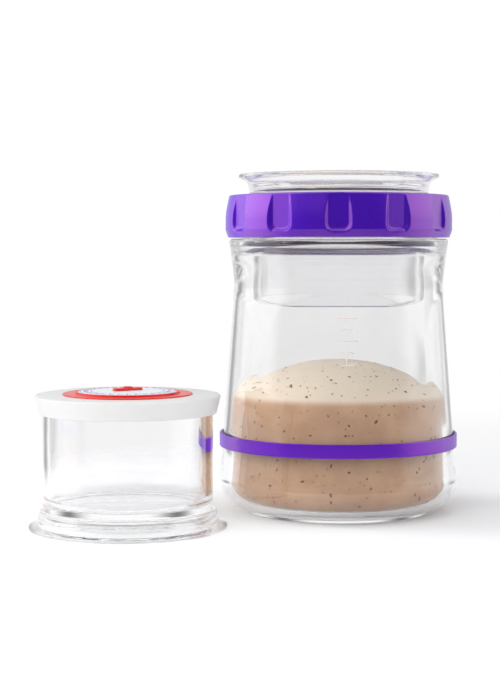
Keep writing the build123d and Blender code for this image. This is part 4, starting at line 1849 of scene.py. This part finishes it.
@dataclass
class Studio:
    """White studio: paper sweep, soft lamps, surroundings that shape the glass edges, and the camera.

    Directions are told by their azimuth, in radians from straight back to either side, and by the X, Y and Z
    of a way of length one. Levels are shares of white.
    """

    fill: float = 0.46
    passed: tuple[str, ...] = (
        "standing_pot", "lid_cover", "red_bezel", "printed_disc", "date_numbers", "pointer_bar",
    )
    camera_place: tuple[float, float, float] = (-0.0415, -0.790, 0.1245)
    camera_tilt: float = 3.54
    focal_pixels: float = 1680.0
    frame_pixels: float = 700.0
    sensor: float = 36.0
    clip_start: float = 0.01
    clip_end: float = 20.0
    floor_radii: tuple[float, ...] = (0.0, 120.0, 300.0, 900.0)
    floor_drop: float = 0.25
    floor_columns: int = 64
    edge_dark: float = 0.15
    edge_middle: float = 0.50
    edge_half_width: float = 0.30
    edge_rise: Point = (0.16, 0.34)
    box_middle: float = 1.47
    box_half_width: float = 0.57
    box_edge: float = 0.16
    box_rise: float = 0.08
    box_low_share: float = 0.5
    side_blend: float = 0.2
    left_level: float = 2.9
    right_level: float = 2.2
    front_from: float = -0.5
    front_level: float = 0.06
    back_level: float = 0.95
    bounces: int = 128

    def build_floor(self) -> None:
        """Makes the round sheet of paper under the set."""
        outline = [(radius, -self.floor_drop) for radius in self.floor_radii]
        shell = spun(outline, turn_columns(self.floor_columns), closed=False)
        paper = shell.to_object("paper_floor")
        paper.data.materials.append(StudioPaper("White_paper").material())

    def build_lamps(self) -> None:
        """Places the lamps.

        A soft key stands at the upper left in front, and one hangs overhead. A box stands on each side, and a
        rim lamp behind the left one doesn't light the pot. The two on the left pass the pot, which would
        otherwise throw its lid's shadow on the jar.
        """
        middle = (-0.03, 0.0, 0.07)
        lamps = (
            Lamp("key", place=(-0.45, -0.95, 0.72), aim=middle, size=(0.8, 0.8), level=0.42),
            Lamp("overhead", place=(0.0, 0.2, 1.5), aim=middle, size=(1.3, 1.0), level=0.08),
            Lamp("left_box", place=(-0.88, -0.25, 0.42), aim=(0.0, 0.0, 0.08), size=(0.7, 0.7), level=0.26,
                 passed=self.passed),
            Lamp("left_rim", place=(-0.95, 0.20, 0.32), aim=(0.0, 0.0, 0.08), size=(0.5, 0.6), level=0.80,
                 passed=self.passed, leaves_passed_dark=True),
            Lamp("right_box", place=(0.95, -0.1, 0.30), aim=(0.0, 0.0, 0.12), size=(0.6, 0.9), level=0.42),
        )
        for lamp in lamps:
            lamp.build()

    def build_world(self) -> None:
        """Sets what each kind of ray meets beyond the paper.

        The camera sees white. Glass shows white too, with a dark strip on each side near the level of the
        eye, which draws its edge lines. Reflections show white behind, a soft box on each side that is dimmer
        below the level of the eye, and a dim room in front. All other rays meet an even fill.
        """
        world = bpy.data.worlds.new("white_room")
        world.use_nodes = True
        world.cycles.sampling_method = "NONE"
        bpy.context.scene.world = world
        tree = world.node_tree
        tree.nodes.clear()
        way = add_node(tree, "ShaderNodeTexCoord").outputs["Generated"]
        parts = add_node(tree, "ShaderNodeSeparateXYZ", None, {0: way})
        turn = add_node(tree, "ShaderNodeMath", None, {0: parts.outputs[0], 1: parts.outputs[1]},
                        operation="ARCTAN2")
        either = add_node(tree, "ShaderNodeMath", None, {0: turn.outputs[0]}, operation="ABSOLUTE")
        through = add_node(
            tree, "ShaderNodeMapRange", {1: 0.0, 2: self.edge_half_width, 3: self.edge_dark, 4: 1.0},
            {0: self.away(tree, either, self.edge_middle)}, interpolation_type="SMOOTHSTEP",
        )
        level_way = add_node(tree, "ShaderNodeMath", None, {0: parts.outputs[2]}, operation="ABSOLUTE")
        steep = add_node(tree, "ShaderNodeMapRange", {1: self.edge_rise[0], 2: self.edge_rise[1]},
                         {0: level_way.outputs[0]}, interpolation_type="SMOOTHSTEP")
        through = add_node(tree, "ShaderNodeMix", {3: 1.0}, {0: steep.outputs[0], 2: through.outputs[0]})
        room = add_node(
            tree, "ShaderNodeMapRange", {1: self.front_from, 2: 0.0, 3: self.front_level, 4: self.back_level},
            {0: parts.outputs[1]}, interpolation_type="SMOOTHSTEP",
        )
        beside = add_node(
            tree, "ShaderNodeMapRange",
            {1: self.box_half_width - self.box_edge, 2: self.box_half_width + self.box_edge, 3: 1.0, 4: 0.0},
            {0: self.away(tree, either, self.box_middle)}, interpolation_type="SMOOTHSTEP",
        )
        above = add_node(
            tree, "ShaderNodeMapRange", {1: 0.0, 2: self.box_rise, 3: self.box_low_share, 4: 1.0},
            {0: parts.outputs[2]}, interpolation_type="SMOOTHSTEP",
        )
        box = add_node(tree, "ShaderNodeMath", None, {0: beside.outputs[0], 1: above.outputs[0]},
                       operation="MULTIPLY")
        box_level = add_node(
            tree, "ShaderNodeMapRange",
            {1: -self.side_blend, 2: self.side_blend, 3: self.left_level, 4: self.right_level},
            {0: parts.outputs[0]},
        )
        mirrored = add_node(tree, "ShaderNodeMix", None,
                            {0: box.outputs[0], 2: room.outputs[0], 3: box_level.outputs[0]})
        path = add_node(tree, "ShaderNodeLightPath")
        level = add_node(tree, "ShaderNodeMix", {2: self.fill},
                         {0: path.outputs["Is Glossy Ray"], 3: mirrored.outputs[0]})
        level = add_node(tree, "ShaderNodeMix", None, {
            0: path.outputs["Is Transmission Ray"], 2: level.outputs[0], 3: through.outputs[0],
        })
        level = add_node(tree, "ShaderNodeMix", {3: 1.0},
                         {0: path.outputs["Is Camera Ray"], 2: level.outputs[0]})
        sky = add_node(tree, "ShaderNodeBackground", {"Color": (1, 1, 1, 1)}, {"Strength": level.outputs[0]})
        add_node(tree, "ShaderNodeOutputWorld", None, {"Surface": sky.outputs[0]})

    def away(self, tree: bpy.types.NodeTree, angle: bpy.types.Node, middle: float) -> bpy.types.NodeSocket:
        """Adds nodes that find how far an angle is from a middle one.

        Args:
            tree: tree of the world.
            angle: node that gives the angle.
            middle: the middle angle.

        Returns:
            Output with the distance.
        """
        off = add_node(tree, "ShaderNodeMath", {1: middle}, {0: angle.outputs[0]}, operation="SUBTRACT")
        return add_node(tree, "ShaderNodeMath", None, {0: off.outputs[0]}, operation="ABSOLUTE").outputs[0]

    def build_camera(self) -> None:
        """Places the camera and sets how light is carried through many walls of glass."""
        scene = bpy.context.scene
        data = bpy.data.cameras.new("camera")
        data.sensor_fit = "AUTO"
        data.sensor_width = self.sensor
        data.lens = self.sensor * self.focal_pixels / self.frame_pixels
        data.clip_start = self.clip_start
        data.clip_end = self.clip_end
        camera = bpy.data.objects.new("camera", data)
        camera.location = self.camera_place
        camera.rotation_euler = (math.radians(90 - self.camera_tilt), 0, 0)
        scene.collection.objects.link(camera)
        scene.camera = camera
        scene.view_settings.view_transform = "Standard"
        scene.cycles.max_bounces = self.bounces
        scene.cycles.transmission_bounces = self.bounces
        scene.cycles.transparent_max_bounces = self.bounces
        scene.cycles.glossy_bounces = self.bounces

    def build(self) -> None:
        """Makes the whole studio."""
        self.build_floor()
        self.build_lamps()
        self.build_world()
        self.build_camera()
        LOG.info("built the studio")


def main() -> None:
    """Builds every piece of the set in order and then the studio."""
    logging.basicConfig(level=logging.INFO, format="%(name)s: %(message)s")
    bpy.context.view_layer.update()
    jar_glass = ClearGlass("Jar_soda_glass").material()
    cup_glass = ClearGlass("Cup_soda_glass", "#FDFDFD", "#FAFAFB", wave_size=12.0).material()
    # The violet plastic and rubber mirror more than their typical IOR of 1.49 and 1.41 would give, and a
    # little pink, so their IOR, gloss and sheen are matched to the real ones.
    violet = MouldedPlastic(
        "Violet_polypropylene", "#3A01B4", "#3501AB", roughness=0.29, ior=1.7,
        gloss=1.0, sheen_colour="#FFA2C4",
    ).material()
    violet_rubber = MouldedPlastic(
        "Violet_silicone_rubber", "#4603B8", "#4102AE", roughness=0.32, ior=1.7, grain_size=0.6,
        gloss=1.0, sheen_colour="#FF98BE",
    ).material()
    white = MouldedPlastic(
        "White_polypropylene", "#EEEEED", "#E9E9E8", roughness=0.5, scatter=0.1, gloss=0.2,
    ).material()
    red = MouldedPlastic("Red_ABS", "#E02A20", "#D7241B", roughness=0.32).material()
    silicone = SoftSilicone("Clear_silicone").material()
    jar = JarGlass()
    jar.build(jar_glass)
    Starter(jar).build(RyeDough("Rye_starter").material(),
                       DryPigment("Rye_bran", "#6A4232", "#9A6C4E").material())
    LevelBand().build(violet_rubber)
    ScrewRing().build(violet)
    RingGasket().build(silicone)
    SmallGlass("hanging_cup", "hanging_glass", Body.CUP, upside_down=True).build(cup_glass)
    SmallGlass("pot_glass", "standing_pot", Body.POT, share=0.94).build(cup_glass)
    lid = PotLid()
    lid.build_shell(white)
    lid.build_seals(silicone)
    lid.build_bezel(red)
    lid.build_disc(PrintedDisc("Printed_polystyrene").material(),
                   DryPigment("Blue_ink", "#2F5FB0", "#3A6DC0", roughness=0.45).material())
    lid.build_pointer(red, white)
    Studio().build()


if __name__ == "__main__":
    main()
